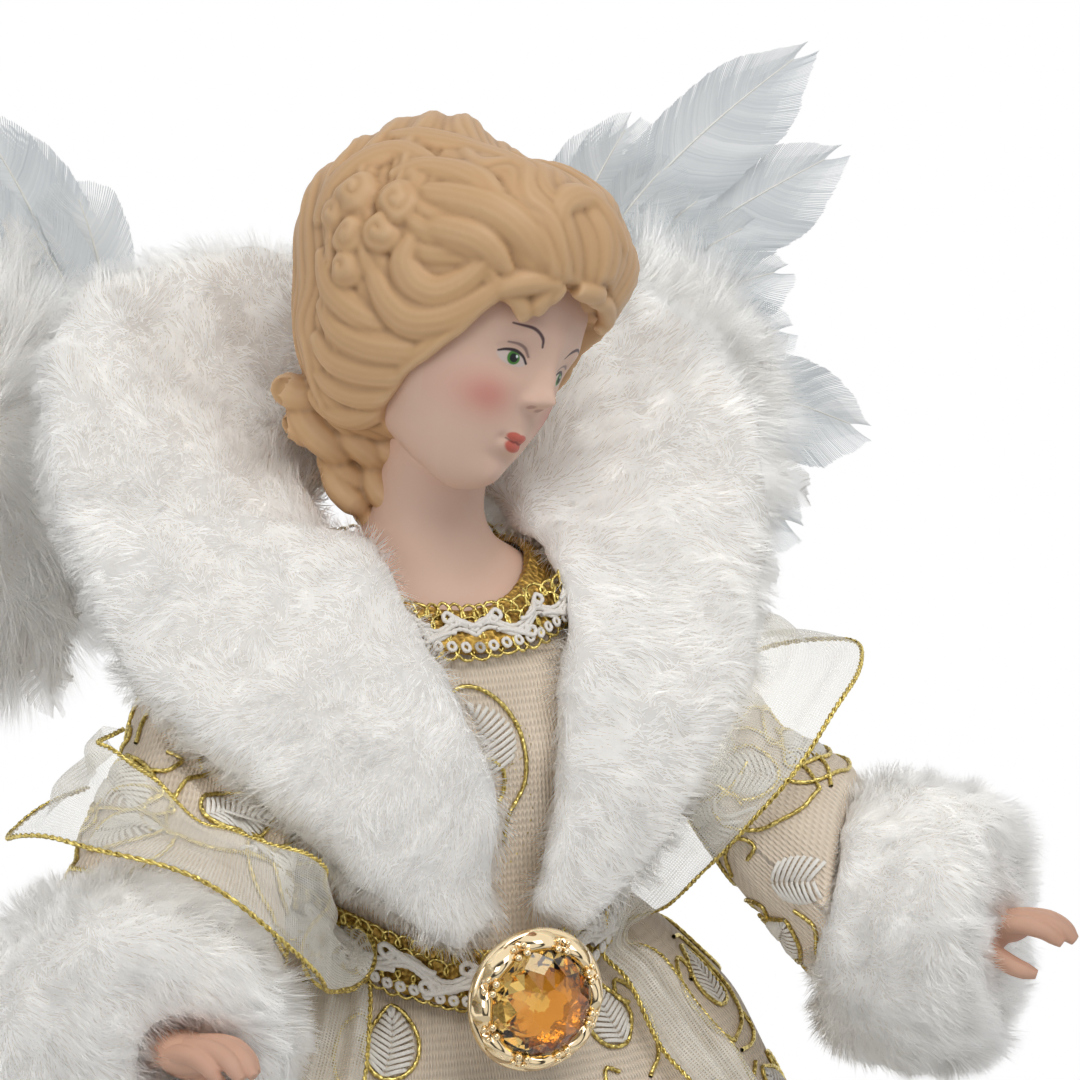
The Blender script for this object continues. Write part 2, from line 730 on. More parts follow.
RINGLETS = [
    # start and end in the shared frame, radius of the coil, turns, radius of the hair in it
    ((-12, 5, 339), (-3, -2, 317), 1.2, 2.3, 3.3),
    ((-17, 8, 340), (-10, 3, 321), 1.3, 1.9, 3.5),
    ((-9, 3, 336), (0, -4, 324), 1.0, 1.6, 2.7),
    ((-21, 9, 339.5), (-10, 6, 340), 1.2, 1.4, 3.4),
    ((-19, 9, 334), (-9, 5, 334), 1.2, 1.4, 3.4),
    ((-14, 6, 336), (-6, 1, 330), 1.2, 1.2, 3.4),
    ((-13, 7, 331), (-6, 2, 318), 1.2, 1.8, 3.2),
]
RINGLET_TAPER = ([0, 0.05, 0.12, 0.9, 1], [0.3, 0.75, 1, 0.68, 0.3])
taper = np.interp(np.linspace(0, 1, RINGLET_STEPS), *RINGLET_TAPER)
for start, end, around, turns, radius in RINGLETS:
    line = to_head(ringlet_line(start, end, around, turns))
    hair_parts.append(tube("ringlet", line, radius * taper))

HAIR_VOXEL = 0.32
hair = remesh(join("moulded_hair", hair_parts), HAIR_VOXEL, smoothing=8)
print("hair faces", len(hair.data.polygons))

# %% [markdown]
# The face is an egg pressed into shape by soft strokes: sockets, lids, a nose, a small mouth, a chin.
# The same strokes press the CAD face, with fewer points. Its paint is the factory's: thin brows, a lid
# line and crease, green irises, blushed cheeks and a small coral mouth, laid on by position.

# %% The face's outline from crown to chin: height, half width, depth in front of the head's middle
FACE_OUTLINE = np.array([
    [24.0, 0.1, 0.1],
    [23.0, 7.0, 7.5],
    [20.5, 11.5, 12.5],
    [16.0, 15.3, 16.4],
    [10.0, 17.2, 18.5],
    [4.0, 17.7, 19.2],
    [-2.0, 17.3, 19.2],
    [-8.0, 16.1, 18.9],
    [-13.0, 14.0, 18.5],
    [-17.0, 11.6, 17.8],
    [-20.5, 9.0, 16.4],
    [-23.0, 6.4, 13.6],
    [-24.4, 3.4, 8.6],
    [-24.9, 0.1, 0.1],
])
# Its strokes: across, up, half width, half height, forward, mirrored
FACE_STROKES = [
    (0, 1.0, 2.2, 5.0, 0.9, 0),
    (0, -3.4, 1.5, 2.6, 2.0, 0),
    (0, -5.8, 1.7, 1.5, 3.0, 0),
    (1.9, -6.9, 1.1, 1.0, 1.0, 1),
    (0, -8.6, 1.6, 0.9, -0.3, 0),
    (7.0, -1.6, 3.6, 2.4, -1.9, 1),
    (7.0, -1.7, 2.3, 1.35, 1.3, 1),
    (6.6, 3.4, 5.5, 1.9, 0.5, 1),
    (8.8, -8.5, 5.0, 4.6, 0.5, 1),
    (0, -13.4, 4.4, 3.2, 0.8, 0),
    (0.9, -12.7, 1.3, 0.6, 0.3, 1),
    (0, -13.55, 2.4, 0.34, -0.5, 0),
    (0, -14.4, 1.6, 0.8, 0.35, 0),
    (3.0, -13.5, 0.8, 0.8, -0.5, 1),
    (0, -16.6, 2.8, 1.0, -0.9, 0),
    (0, -20.4, 3.6, 2.6, 1.1, 0),
]
JAW_RISE = 0.36


def face_skin(columns, rows):
    turn = np.linspace(-1, 1, columns, endpoint=False)
    turn = math.pi * (0.45 * turn + 0.55 * turn ** 3)[None, :]
    outline = smooth_line(FACE_OUTLINE, rows)
    z, half, depth = (outline[:, k][:, None] for k in range(3))
    side = np.sin(turn)
    ahead = np.cos(turn)
    x = half * np.sign(side) * np.abs(side) ** 0.94
    y = -np.where(ahead > 0, depth, half) * np.sign(ahead) * np.abs(ahead) ** 0.94
    z = z + 0 * turn
    forward = 0
    for across, up, wide, tall, push, mirrored in FACE_STROKES:
        for hand in ((1, -1) if mirrored else (1,)):
            away = ((x - hand * across) / wide) ** 2 + ((z - up) / tall) ** 2
            forward = forward + push * np.exp(-away)
    low = smoothstep(-z, 4, 20)
    z = z + JAW_RISE * low * np.maximum(y + 11, 0)
    y = y - forward * smoothstep(-y, 0, 9)
    return np.stack([x, y, z], axis=-1).reshape(-1, 3)


FACE_COLUMNS = 420
FACE_ROWS = 340
face = add_mesh("face", face_skin(FACE_COLUMNS, FACE_ROWS), grid_faces(FACE_ROWS, FACE_COLUMNS))

# %% The neck and shoulder plate, from the neckline's oval up into the head
NECKLINE_HEIGHT = 311.5
NECK_TOP = 338
NECK_RADIUS = 8.7
NECKLINE = (20.4, 20.65, 20.16)
FRONT_DIP = 14
# height, way from the neckline's oval to the neck's circle, dip, lean towards the head
NECK_SHARES = np.array([
    [-0.16, -0.1, 0.78, 0],
    [0.0, 0.1, 0.72, 0],
    [0.1, 0.42, 0.6, 0],
    [0.2, 0.75, 0.38, 0.04],
    [0.38, 0.96, 0.12, 0.2],
    [0.68, 1.0, 0, 0.6],
    [1.0, 1.0, 0, 1.0],
])


def neck_skin(columns, rows):
    share = smooth_line(NECK_SHARES, rows)
    angle = 2 * math.pi * np.arange(columns) / columns
    height, narrowing, dip, lean = (share[:, k][:, None] for k in range(4))
    # the first and last rings close on their middles
    half = NECKLINE[0] + (NECK_RADIUS - NECKLINE[0]) * narrowing
    front = NECKLINE[1] + (NECK_RADIUS - NECKLINE[1]) * narrowing
    back = NECKLINE[2] + (NECK_RADIUS - NECKLINE[2]) * narrowing
    for wide in (half, front, back):
        wide[[0, -1]] = 0
    depth = np.sin(angle)[None, :]
    reach = np.where(depth < 0, front, back)
    x = lean * HEAD_AT[0] * 0.8 + half * np.cos(angle)[None, :]
    y = lean * HEAD_AT[1] * 0.5 + reach * depth
    sunk = np.where(depth < 0, FRONT_DIP * dip * depth ** 2, 0)
    z = NECKLINE_HEIGHT + (NECK_TOP - NECKLINE_HEIGHT) * height - sunk
    return np.stack([x + 0 * depth, y, z + 0 * depth], axis=-1).reshape(-1, 3)


NECK_COLUMNS = 160
NECK_ROWS = 110
SKIN_VOXEL = 0.3
neck_points = to_head(neck_skin(NECK_COLUMNS, NECK_ROWS))
neck = add_mesh("neck", neck_points, grid_faces(NECK_ROWS, NECK_COLUMNS))
skin = remesh(join("bisque_head", [face, neck]), SKIN_VOXEL, smoothing=2)
print("face faces", len(skin.data.polygons))


# %% Paint on the bisque
STROKE_STEPS = 70


def brush(distance, soft):
    """Full inside the stroke, fading over its soft edge."""
    return 1 - smoothstep(distance, 0, soft)


def stroke_away(x, z, line, widths):
    """Distance outside a painted line of changing width."""
    line = smooth_line(line, STROKE_STEPS)
    steps = np.linspace(0, 1, STROKE_STEPS)
    widths = np.interp(steps, np.linspace(0, 1, len(widths)), widths)
    best = np.full(x.shape, FAR)
    for (lx, lz), width in zip(line, widths):
        best = np.minimum(best, np.hypot(x - lx, z - lz) - width)
    return best


SKIN = linear(222, 188, 168)
BLUSH = linear(204, 112, 104)
LIPS = linear(200, 88, 72)
BROW = linear(74, 48, 56)
LID = linear(120, 92, 92)
LASH = linear(52, 40, 44)
EYE_WHITE = linear(214, 196, 188)
IRIS = linear(70, 128, 48)
PUPIL = linear(16, 18, 20)
GLINT = linear(235, 240, 238)
MOUTH_LINE = linear(120, 44, 40)
NOSTRIL = linear(150, 90, 80)
EYE_STROKES = [
    # tone, strength, soft edge, points across and up, half widths along it
    (SKIN * 0.86, 0.5, 0.5, [(4.2, -0.8), (5.6, 0.3), (7.4, 0.5), (9.6, -0.6)], [0.1, 0.5, 0.5, 0.2]),
    (LASH, 1, 0.2, [(4.3, -1.7), (5.3, -0.85), (6.8, -0.5), (8.3, -0.85), (9.4, -1.5)],
     [0.1, 0.14, 0.18, 0.12, 0.05]),
    (LID, 0.8, 0.25, [(4.4, -0.6), (5.6, 0.35), (7.0, 0.62), (8.6, 0.3)], [0.06, 0.1, 0.1, 0.03]),
    (BROW, 0.95, 0.22, [(3.4, 1.6), (4.4, 2.9), (6.6, 3.7), (9.8, 3.2)], [0.05, 0.17, 0.16, 0.04]),
]
MOUTH_STROKE = (
    [(-2.3, -13.4), (-0.8, -13.6), (0, -13.45), (0.8, -13.6), (2.3, -13.4)],
    [0.02, 0.08, 0.08, 0.08, 0.02],
)
FACE_FRONT = -8


def face_paint(points):
    x, z = points[:, 0], points[:, 2]
    front = (points[:, 1] < FACE_FRONT).astype(float)
    colour = np.tile(SKIN, (len(points), 1))
    mottle = noise(points, 6, seed=21)[:, None]
    colour = colour * (1 + 0.02 * mottle)

    def lay(tone, amount):
        nonlocal colour
        amount = (amount * front)[:, None]
        colour = colour * (1 - amount) + tone * amount

    for hand in (1, -1):
        cheek = np.hypot((x - hand * 8.6) / 1.15, z + 8.4)
        lay(BLUSH, 0.62 * np.exp(-((cheek / 3.3) ** 2)))
        own = x * hand
        lay(EYE_WHITE, brush(np.hypot((own - 6.9) / 2.3, (z + 1.75) / 1.0) - 1, 0.25))
        iris = np.hypot(own - 6.8, (z + 1.65) * 1.05)
        lay(IRIS, brush(iris - 1.0, 0.2))
        lay(PUPIL, brush(iris - 0.62, 0.2))
        lay(GLINT, brush(np.hypot(own - 6.6 - 0.25 * hand, z + 1.25) - 0.16, 0.12))
        for tone, strength, soft, line, widths in EYE_STROKES:
            lay(tone, strength * brush(stroke_away(own, z, line, widths), soft))
    upper = np.hypot((np.abs(x) - 0.85) / 1.45, (z + 12.75) / 0.62) - 1
    lower = np.hypot(x / 1.75, (z + 14.2) / 0.85) - 1
    lay(LIPS, 0.9 * brush(np.minimum(upper, lower) * 0.8, 0.3))
    lay(MOUTH_LINE, 0.7 * brush(stroke_away(x, z, *MOUTH_STROKE), 0.2))
    for hand in (1, -1):
        lay(NOSTRIL, 0.5 * brush(np.hypot((x * hand - 1.15) / 0.6, (z + 7.55) / 0.35) - 1, 0.5))
    return np.hstack([colour, np.ones((len(points), 1))])


# %% Finer faces round the eyes and the mouth, so that their paint has crisp edges
def refine(obj, wanted, cuts):
    build = bmesh.new()
    build.from_mesh(obj.data)
    edges = [edge for edge in build.edges if wanted((edge.verts[0].co + edge.verts[1].co) / 2 / MM)]
    bmesh.ops.subdivide_edges(build, edges=edges, cuts=cuts, use_grid_fill=True)
    build.to_mesh(obj.data)
    build.free()


def painted_region(p):
    eyes = 2.6 < abs(p.x) < 11 and -3.6 < p.z < 4.8
    mouth = abs(p.x) < 3.4 and -16.2 < p.z < -11.2
    return p.y < -10 and (eyes or mouth)


refine(skin, painted_region, 2)
paint(skin, "paint", face_paint(mesh_points(skin)), "FLOAT_COLOR", "color")
paint(hair, "hollow", hollows(hair, 10, 0.42))
for obj in (skin, hair):
    set_points(obj, place(mesh_points(obj), HEAD_PLACE))
    for polygon in obj.data.polygons:
        polygon.use_smooth = True
print("finer faces", len(skin.data.polygons))

# %% Bisque, and the painted hair with its darker hollows
UNGLAZED = {
    "roughness": 0.5, "Specular_IOR_Level": 0.35,
    "Subsurface_Weight": 0.08, "Subsurface_Radius": (0.0016, 0.0008, 0.0005),
}
BISQUE_GRAIN = (6, 4, 0.12, 0.05)
bisque = new_material("painted_bisque", **UNGLAZED)
wire(bisque, painted(bisque, "paint", "Color"), shader_of(bisque).inputs["Base Color"])
bump(bisque, noise_texture(bisque, *BISQUE_GRAIN[:2]), *BISQUE_GRAIN[2:])
finish_piece(skin, "torso", bisque, ["porcelain_head"])

RIDGE, SLOPE, GROOVE = linear(222, 186, 144), linear(204, 163, 118), linear(130, 94, 60)
painted_hair = new_material("painted_hair", 0.48, Specular_IOR_Level=0.4)
ramp = add_node(painted_hair, "ShaderNodeValToRGB")
for element, position, tone in zip(ramp.color_ramp.elements, (0.22, 0.86), (RIDGE, GROOVE)):
    element.position = position
    element.color = (*tone, 1)
ramp.color_ramp.elements.new(0.5).color = (*SLOPE, 1)
wire(painted_hair, painted(painted_hair, "hollow"), ramp.inputs["Fac"])
wire(painted_hair, ramp.outputs["Color"], shader_of(painted_hair).inputs["Base Color"])
bump(painted_hair, noise_texture(painted_hair, 3, 4), 0.15, 0.08)
finish_piece(hair, "torso", painted_hair, ["porcelain_head"])
print("head", skin.name, "and", hair.name)

# %% [markdown]
# ## Plush: collar, cuffs, front panel and hem
#
# The collar is a long-pile plush over a padded slab, cut with the pile running outwards. A real one
# has a knitted back that the pile stands out of, so there is a lumpy skin below and hairs above it.
# Hairs lean together in tufts and part between them, which gives plush its soft hollows. Every hair is
# a ribbon of mesh. Its normal is blended with the skin's, as light spreads through real pile.

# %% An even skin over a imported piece, and random places on it
def packed_skin(name, node, voxel, smoothing):
    """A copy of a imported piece's surface with even faces, eased so that no facets are left."""
    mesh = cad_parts[node].data.copy()
    mesh.materials.clear()
    return remesh(new_object(name, mesh), voxel, smoothing)


def scatter(obj, count):
    """Random places on the skin, evenly by area, with the skin's normal at each."""
    mesh = obj.data
    mesh.calc_loop_triangles()
    corners = read(mesh.loop_triangles, "vertices", 3, np.int32)
    points = mesh_points(obj)
    normals = point_normals(obj)
    a, b, c = (points[corners[:, k]] for k in range(3))
    area = np.linalg.norm(np.cross(b - a, c - a), axis=1)
    pick = rng.choice(len(area), count, p=area / area.sum())
    across, down = rng.random((2, count))
    over = across + down > 1
    across = np.where(over, 1 - across, across)
    down = np.where(over, 1 - down, down)
    share = np.stack([1 - across - down, across, down], axis=1)[..., None]
    spots = (points[corners[pick]] * share).sum(axis=1)
    return spots, unit((normals[corners[pick]] * share).sum(axis=1))


def lumpy(obj, height, size, seed):
    """Soft lumps and finer tufts, pushed out along the skin's normals."""
    points = mesh_points(obj)
    swell = noise(points, size, seed) + 0.45 * noise(points, size * 0.42, seed + 1)
    set_points(obj, points + point_normals(obj) * (height * swell)[:, None])


# %% Ribbon hairs: four stops along each hair, two quads and a tip
STRAND_WAYS = np.array([0, 0.4, 0.75, 1.0])
STRAND_FACES = np.array([[0, 1, 3], [0, 3, 2], [2, 3, 5], [2, 5, 4], [4, 5, 6]])
STRAND_TONES = np.array([0, 0, 0.5, 0.5, 0.85, 0.85, 1.0])


def strands(name, roots, normals, heading, bend, length, width):
    """Hairs from their roots: each starts along heading and leans over by bend towards its tip."""
    count = len(roots)
    way = STRAND_WAYS[None, :, None]
    length = np.broadcast_to(length, (count,))[:, None, None]
    line = roots[:, None] + length * (heading[:, None] * way + bend[:, None] * way ** 2)
    across = unit(np.cross(heading, unit(rng.normal(size=(count, 3)))))[:, None] * width / 2
    taper = np.array([1, 0.9, 0.65])[None, :, None]
    left = line[:, :3] - across * taper
    right = line[:, :3] + across * taper
    points = np.concatenate([np.stack([left, right], axis=2).reshape(count, 6, 3), line[:, 3:]], axis=1)
    corners = len(STRAND_TONES)
    faces = STRAND_FACES[None] + corners * np.arange(count)[:, None, None]
    obj = add_mesh(name, points.reshape(-1, 3), faces.reshape(-1, 3))
    lit = unit(normals + 0.55 * unit(heading + bend))
    paint(obj, "nap", np.repeat(lit[:, None], corners, axis=1), "FLOAT_VECTOR", "vector")
    paint(obj, "tone", STRAND_TONES[None] * 0.65 + rng.random(count)[:, None] * 0.35)
    return obj


ROOT_DEPTH = 0.4


def plush(skin, name, count, length, width, lay, stand, seed):
    """Pile on a skin: lay gives the way the pile runs at each root."""
    roots, normals = scatter(skin, count)
    run = lay(roots)
    run = unit(run - normals * (run * normals).sum(axis=1, keepdims=True))
    tuft = noise3(roots, 3.6, seed + 20)
    swirl = noise3(roots, 11, seed + 60)
    loose = rng.normal(size=(count, 3))
    heading = unit(normals * stand + run * 0.35 + 0.42 * tuft + 0.3 * swirl + 0.13 * loose)
    bend = run * 0.3 + 0.42 * tuft + 0.22 * swirl + 0.1 * loose
    full = length * (0.8 + 0.25 * noise(roots, 5, seed + 90) + 0.18 * rng.random(count))
    return strands(name, roots - normals * ROOT_DEPTH, normals, heading, bend, full, width)


# %% White plush, creamy where it is deep
def lit_through(look, colour, both):
    """Part of the light on a thin hair's or barb's far side comes out on the near one."""
    through = add_node(look, "ShaderNodeBsdfTranslucent")
    wire(look, colour, through.inputs["Color"])
    first = len(both.inputs) - 2
    wire(look, shader_of(look).outputs["BSDF"], both.inputs[first])
    wire(look, through.outputs["BSDF"], both.inputs[first + 1])
    wire(look, both.outputs["Shader"], look.node_tree.nodes["Material Output"].inputs["Surface"])
    return through


PLUSH = {"roughness": 0.95, "Specular_IOR_Level": 0.12, "Sheen_Weight": 0.25, "Sheen_Roughness": 0.6}
fur_skin_look = mottled(
    "plush_backing", dark=(222, 217, 210), light=(244, 242, 239),
    mottle=(0.5, 5), relief=(1.6, 6, 0.6, 0.5), **PLUSH,
)

fur_hair_look = new_material("plush_pile", **PLUSH)
fur_tone = two_tones(fur_hair_look, painted(fur_hair_look, "tone"), (236, 233, 228), (252, 252, 251))
turn = add_node(fur_hair_look, "ShaderNodeVectorTransform", vector_type="NORMAL")
turn.convert_from = "OBJECT"
turn.convert_to = "WORLD"
wire(fur_hair_look, painted(fur_hair_look, "nap", "Vector"), turn.inputs["Vector"])
wire(fur_hair_look, turn.outputs["Vector"], shader_of(fur_hair_look).inputs["Normal"])
through = lit_through(fur_hair_look, fur_tone, add_node(fur_hair_look, "ShaderNodeAddShader"))
flip = add_node(fur_hair_look, "ShaderNodeVectorMath", operation="SCALE", Scale=-1)
wire(fur_hair_look, turn.outputs["Vector"], flip.inputs[0])
wire(fur_hair_look, flip.outputs["Vector"], through.inputs["Normal"])
print("plush", fur_hair_look.name, fur_skin_look.name)


# %% The collar: pile runs from the neck outwards, and down along the lapels
COLLAR_MIDDLE = np.array([0, 2, 300])
LAPEL_SWELL = 6.0
LAPEL_REACH = 13
PILE_HAIRS = 38000


def collar_lay(points):
    out = (points - COLLAR_MIDDLE) * np.array([1, 0.35, 0.25])
    return unit(unit(out) + np.array([0, 0, -0.55]))


def swell_lapel(skin):
    """The figure's right lapel is fuller: its inner edge bulges over the chest and the neckline."""
    points = mesh_points(skin)
    front = (points[:, 1] < -6) & (points[:, 0] < 2)
    heights = np.arange(255, 340, 3.0)
    edge = []
    for height in heights:
        near = front & (np.abs(points[:, 2] - height) < 3)
        edge.append(points[near, 0].max() if near.any() else -30.0)
    up = points[:, 2]
    away = np.interp(up, heights, edge) - points[:, 0]
    share = np.exp(-((away / LAPEL_REACH) ** 2)) * front
    share = share * smoothstep(up, 262, 284) * (1 - smoothstep(up, 318, 334))
    set_points(skin, points + share[:, None] * LAPEL_SWELL * np.array([1, -0.3, 0]))


collar_skin = packed_skin("collar_backing", "fur_collar", voxel=1.3, smoothing=12)
swell_lapel(collar_skin)
lumpy(collar_skin, height=1.1, size=9, seed=31)
finish_piece(collar_skin, "torso", fur_skin_look, ["fur_collar"])
for k in range(2):
    pile = plush(
        collar_skin, f"collar_pile_{k + 1}", PILE_HAIRS,
        length=3.3, width=0.1, lay=collar_lay, stand=0.72, seed=3,
    )
    finish_piece(pile, "torso", fur_hair_look, ["fur_collar"])
print("collar pile", 2 * PILE_HAIRS)


# %% Cuffs: pile stands out from the middle of each roll and leans to the hand
sides = {"left": 1, "right": -1}


def corners_of(node):
    """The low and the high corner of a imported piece's box, in millimetres."""
    return np.array(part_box(node)) / MM


for hand in sides:
    skin_piece = packed_skin(f"cuff_backing_{hand}", f"cuff_{hand}", voxel=0.9, smoothing=8)
    lumpy(skin_piece, height=0.8, size=7, seed=37)
    finish_piece(skin_piece, f"arm_{hand}", fur_skin_look, [f"cuff_{hand}"])
    run = unit(corners_of(f"hand_{hand}").mean(axis=0) - corners_of(f"cuff_{hand}").mean(axis=0))
    cuff_run = run + np.array([0, 0, -0.3])
    pile = plush(
        skin_piece, f"cuff_pile_{hand}", PILE_HAIRS,
        length=3.8, width=0.09, lay=lambda points: cuff_run, stand=0.8, seed=5,
    )
    finish_piece(pile, f"arm_{hand}", fur_hair_look, [f"cuff_{hand}"])
print("cuff pile", 2 * PILE_HAIRS)


# %% The front panel and the hem: pile runs down
def down_lay(points):
    return np.array([0, 0, -1.0]) + 0.25 * unit(points * np.array([1, 1, 0]))


def above_floor(obj):
    """The hairs that would pass through the floor are bent up by it."""
    points = mesh_points(obj)
    points[:, 2] = np.maximum(points[:, 2], 0.1)
    set_points(obj, points)


for node, title, piles, fill in (
    ("front_fur_panel", "panel", 1, 0.4),
    ("hem_fur", "hem", 2, 0.6),
):
    skin_piece = packed_skin(f"{title}_backing", node, voxel=1.3, smoothing=6)
    lumpy(skin_piece, height=0.8, size=8, seed=41)
    above_floor(skin_piece)
    finish_piece(skin_piece, "torso", fur_skin_look, [node])
    for k in range(piles):
        pile = plush(
            skin_piece, f"{title}_pile_{k + 1}", PILE_HAIRS,
            length=4.2, width=0.11, lay=down_lay, stand=0.7, seed=7,
        )
        above_floor(pile)
        finish_piece(pile, "torso", fur_hair_look, [node])
    print(title, "pile", piles * PILE_HAIRS)

# %% [markdown]
# ## The dress: brocade with gold cord and white satin stitch
#
# Bodice, sleeves and skirt are one knitted brocade. Its ribs run down the cloth, so each skin carries
# two coordinates in millimetres, round and down, which the material turns into ribs and stitches. The
# embroidery lies on top: couched metal cord for the outlines and scrolls, and satin stitch for leaves.
# Each motif is drawn flat and then laid on the cloth by rays, as an embroiderer's hoop is flat.

# %% Brocade
RIB_PITCH = 0.85
STITCH_PITCH = 1.15


def math_node(look, operation, *values):
    node = add_node(look, "ShaderNodeMath", operation=operation)
    for socket, value in zip(node.inputs, values):
        if isinstance(value, (int, float)):
            socket.default_value = value
        else:
            wire(look, value, socket)
    return node.outputs["Value"]


def times(look, source, factor):
    return math_node(look, "MULTIPLY", source, factor)


def knit(look):
    """Height of the knit: ribs round the cloth, and slanted stitches down each rib."""
    rib = math_node(look, "COSINE", times(look, painted(look, "around"), 2 * math.pi / RIB_PITCH))
    down = times(look, painted(look, "down"), 2 * math.pi / STITCH_PITCH)
    slant = math_node(look, "ADD", down, times(look, rib, 1.6))
    stitch = math_node(look, "SINE", slant)
    both = math_node(look, "ADD", times(look, rib, 0.65), times(look, stitch, 0.35))
    return math_node(look, "MULTIPLY_ADD", both, 0.5)


BROCADE_SHEEN = {"Specular_IOR_Level": 0.35, "Sheen_Weight": 0.3, "Sheen_Roughness": 0.5}
brocade = new_material("champagne_brocade", 0.68, **BROCADE_SHEEN)
knit_height = knit(brocade)
weave_noise = noise_texture(brocade, 0.09, 4)
shade = math_node(brocade, "ADD", times(brocade, knit_height, 0.55), times(brocade, weave_noise, 0.7))
two_tones(brocade, shade, (206, 184, 156), (246, 231, 212))
bump(brocade, knit_height, 0.75, 0.35)


def cloth_coordinates(obj, around, down):
    paint(obj, "around", around)
    paint(obj, "down", down)


print("brocade nodes", len(brocade.node_tree.nodes))


# %% The cloths: a bodice stretched over the torso and a skirt that hangs in folds
def tree_of(obj):
    mesh = obj.data
    corners = [tuple(face.vertices) for face in mesh.polygons]
    return BVHTree.FromPolygons([Vector(p) for p in mesh_points(obj)], corners)


def near_turn(points, angle, width):
    """Which points lie within an angle's width of a bearing round the body."""
    turn = np.arctan2(points[:, 0], -points[:, 1])
    return np.abs((turn - angle + math.pi) % (2 * math.pi) - math.pi) < width


def eased_ring(rows, rounds):
    rows = np.array(rows)
    for _ in range(rounds):
        rows = (np.roll(rows, 1, axis=0) + 2 * rows + np.roll(rows, -1, axis=0)) / 4
    return rows


def edge_heights(points, angles, inset):
    """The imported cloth's lowest and highest point near each angle round the body."""
    rows = []
    for angle in angles:
        heights = points[near_turn(points, angle, 0.15), 2]
        rows.append([heights.min() + inset, heights.max() - inset])
    return eased_ring(rows, 3)


RAY_START = 200
FLUTES = 12
FLUTE_HEIGHT = 0.9


def worn_cloth(name, node, rows, columns, rib_reach, easing, inset, flute):
    """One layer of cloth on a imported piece: rays from outside find where it lies."""
    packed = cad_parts[node]
    tree = tree_of(packed)
    # the first and the last column meet in the seam at the back
    angles = np.linspace(-math.pi, math.pi, columns)
    edges = edge_heights(mesh_points(packed), angles, inset)
    share = np.linspace(0, 1, rows)
    reach = np.zeros((rows, columns))
    height = edges[:, 0][None] + (edges[:, 1] - edges[:, 0])[None] * share[:, None]
    for column, angle in enumerate(angles):
        out = np.array([math.sin(angle), -math.cos(angle), 0])
        for row in range(rows):
            start = out * RAY_START + np.array([0, 0, height[row, column]])
            spot, _, _, away = tree.ray_cast(Vector(start), Vector(-out), RAY_START - 1)
            reach[row, column] = RAY_START - away if spot is not None else np.nan
    for column in range(columns):
        known = ~np.isnan(reach[:, column])
        reach[:, column] = np.interp(share, share[known], reach[known, column])
    for _ in range(easing):
        full = np.concatenate([reach[:, -2:-1], reach, reach[:, 1:2]], axis=1)
        round_it = (full[:, :-2] + full[:, 2:]) / 2
        down_it = np.concatenate([reach[:1], (reach[:-2] + reach[2:]) / 2, reach[-1:]])
        reach = (2 * reach + round_it + down_it) / 4
    # soft folds, which fade towards the upper edge
    share = share[:, None]
    wave = np.sin(angles * FLUTES + 0.6 * np.sin(angles * 5 + 3 * share))
    reach = reach + flute * wave * (1 - share) ** 0.7
    points = np.stack([reach * np.sin(angles), -reach * np.cos(angles), height], axis=-1)
    cloth = add_mesh(name, points.reshape(-1, 3), grid_faces(rows, columns, False))
    cloth_coordinates(cloth, np.tile(angles * rib_reach, rows), height.ravel())
    return cloth


bodice = worn_cloth(
    "bodice_cloth", "bodice", rows=90, columns=320, rib_reach=31, easing=3, inset=0.4, flute=0,
)
finish_piece(bodice, "torso", brocade, ["bodice"])
skirt = worn_cloth(
    "skirt_cloth", "skirt", rows=260, columns=520, rib_reach=62, easing=24, inset=0.6,
    flute=FLUTE_HEIGHT,
)
finish_piece(skirt, "torso", brocade, ["skirt"])

# %% Sleeves: the ribs run along the arm, and the cloth has soft creases at the elbow
PIVOT = np.array([35.5, -4, 294])
ARM_BEARINGS = {1: math.radians(42), -1: math.radians(54)}
ARM_REACH = 50
ARM_DROP = 41
SLEEVE_START = 12.5
SLEEVE_END = 19
# way out along the arm, drop, swell of the sleeve
ARM_SHARES = np.array([
    [-0.2, 0, 0],
    [0, 0.03, 0.06],
    [0.25, 0.3, 0.3],
    [0.5, 0.64, 0.66],
    [0.75, 0.86, 1],
    [1, 1, 1],
])


def arm_axes(side):
    """The arm's own frame: out along the arm, across it and up."""
    bearing = ARM_BEARINGS[side]
    out = np.array([side * math.cos(bearing), -math.sin(bearing), 0])
    return np.array([side, 1, 1]) * PIVOT, out, np.cross([0, 0, 1], out)


def arm_at(way):
    """Drop of the arm's middle and radius of its sleeve, at a share of its reach."""
    drop = ARM_DROP * np.interp(way, ARM_SHARES[:, 0], ARM_SHARES[:, 1])
    swell = np.interp(way, ARM_SHARES[:, 0], ARM_SHARES[:, 2])
    return drop, SLEEVE_START + (SLEEVE_END - SLEEVE_START) * swell


def over_sleeve(way, around, lift, side):
    """A place over the sleeve: a quarter turn is its top, and less is towards its outer side."""
    start, out, across = arm_axes(side)
    drop, radius = arm_at(way)
    middle = start + out * way * ARM_REACH - np.array([0, 0, drop])
    away = across * side * math.cos(around) + np.array([0, 0, math.sin(around)])
    return middle + away * (radius + lift), away


def arm_coordinates(points, side):
    start, out, across = arm_axes(side)
    away = points - start
    along = away @ out
    return along, away @ across, away[:, 2] + arm_at(along / ARM_REACH)[0]


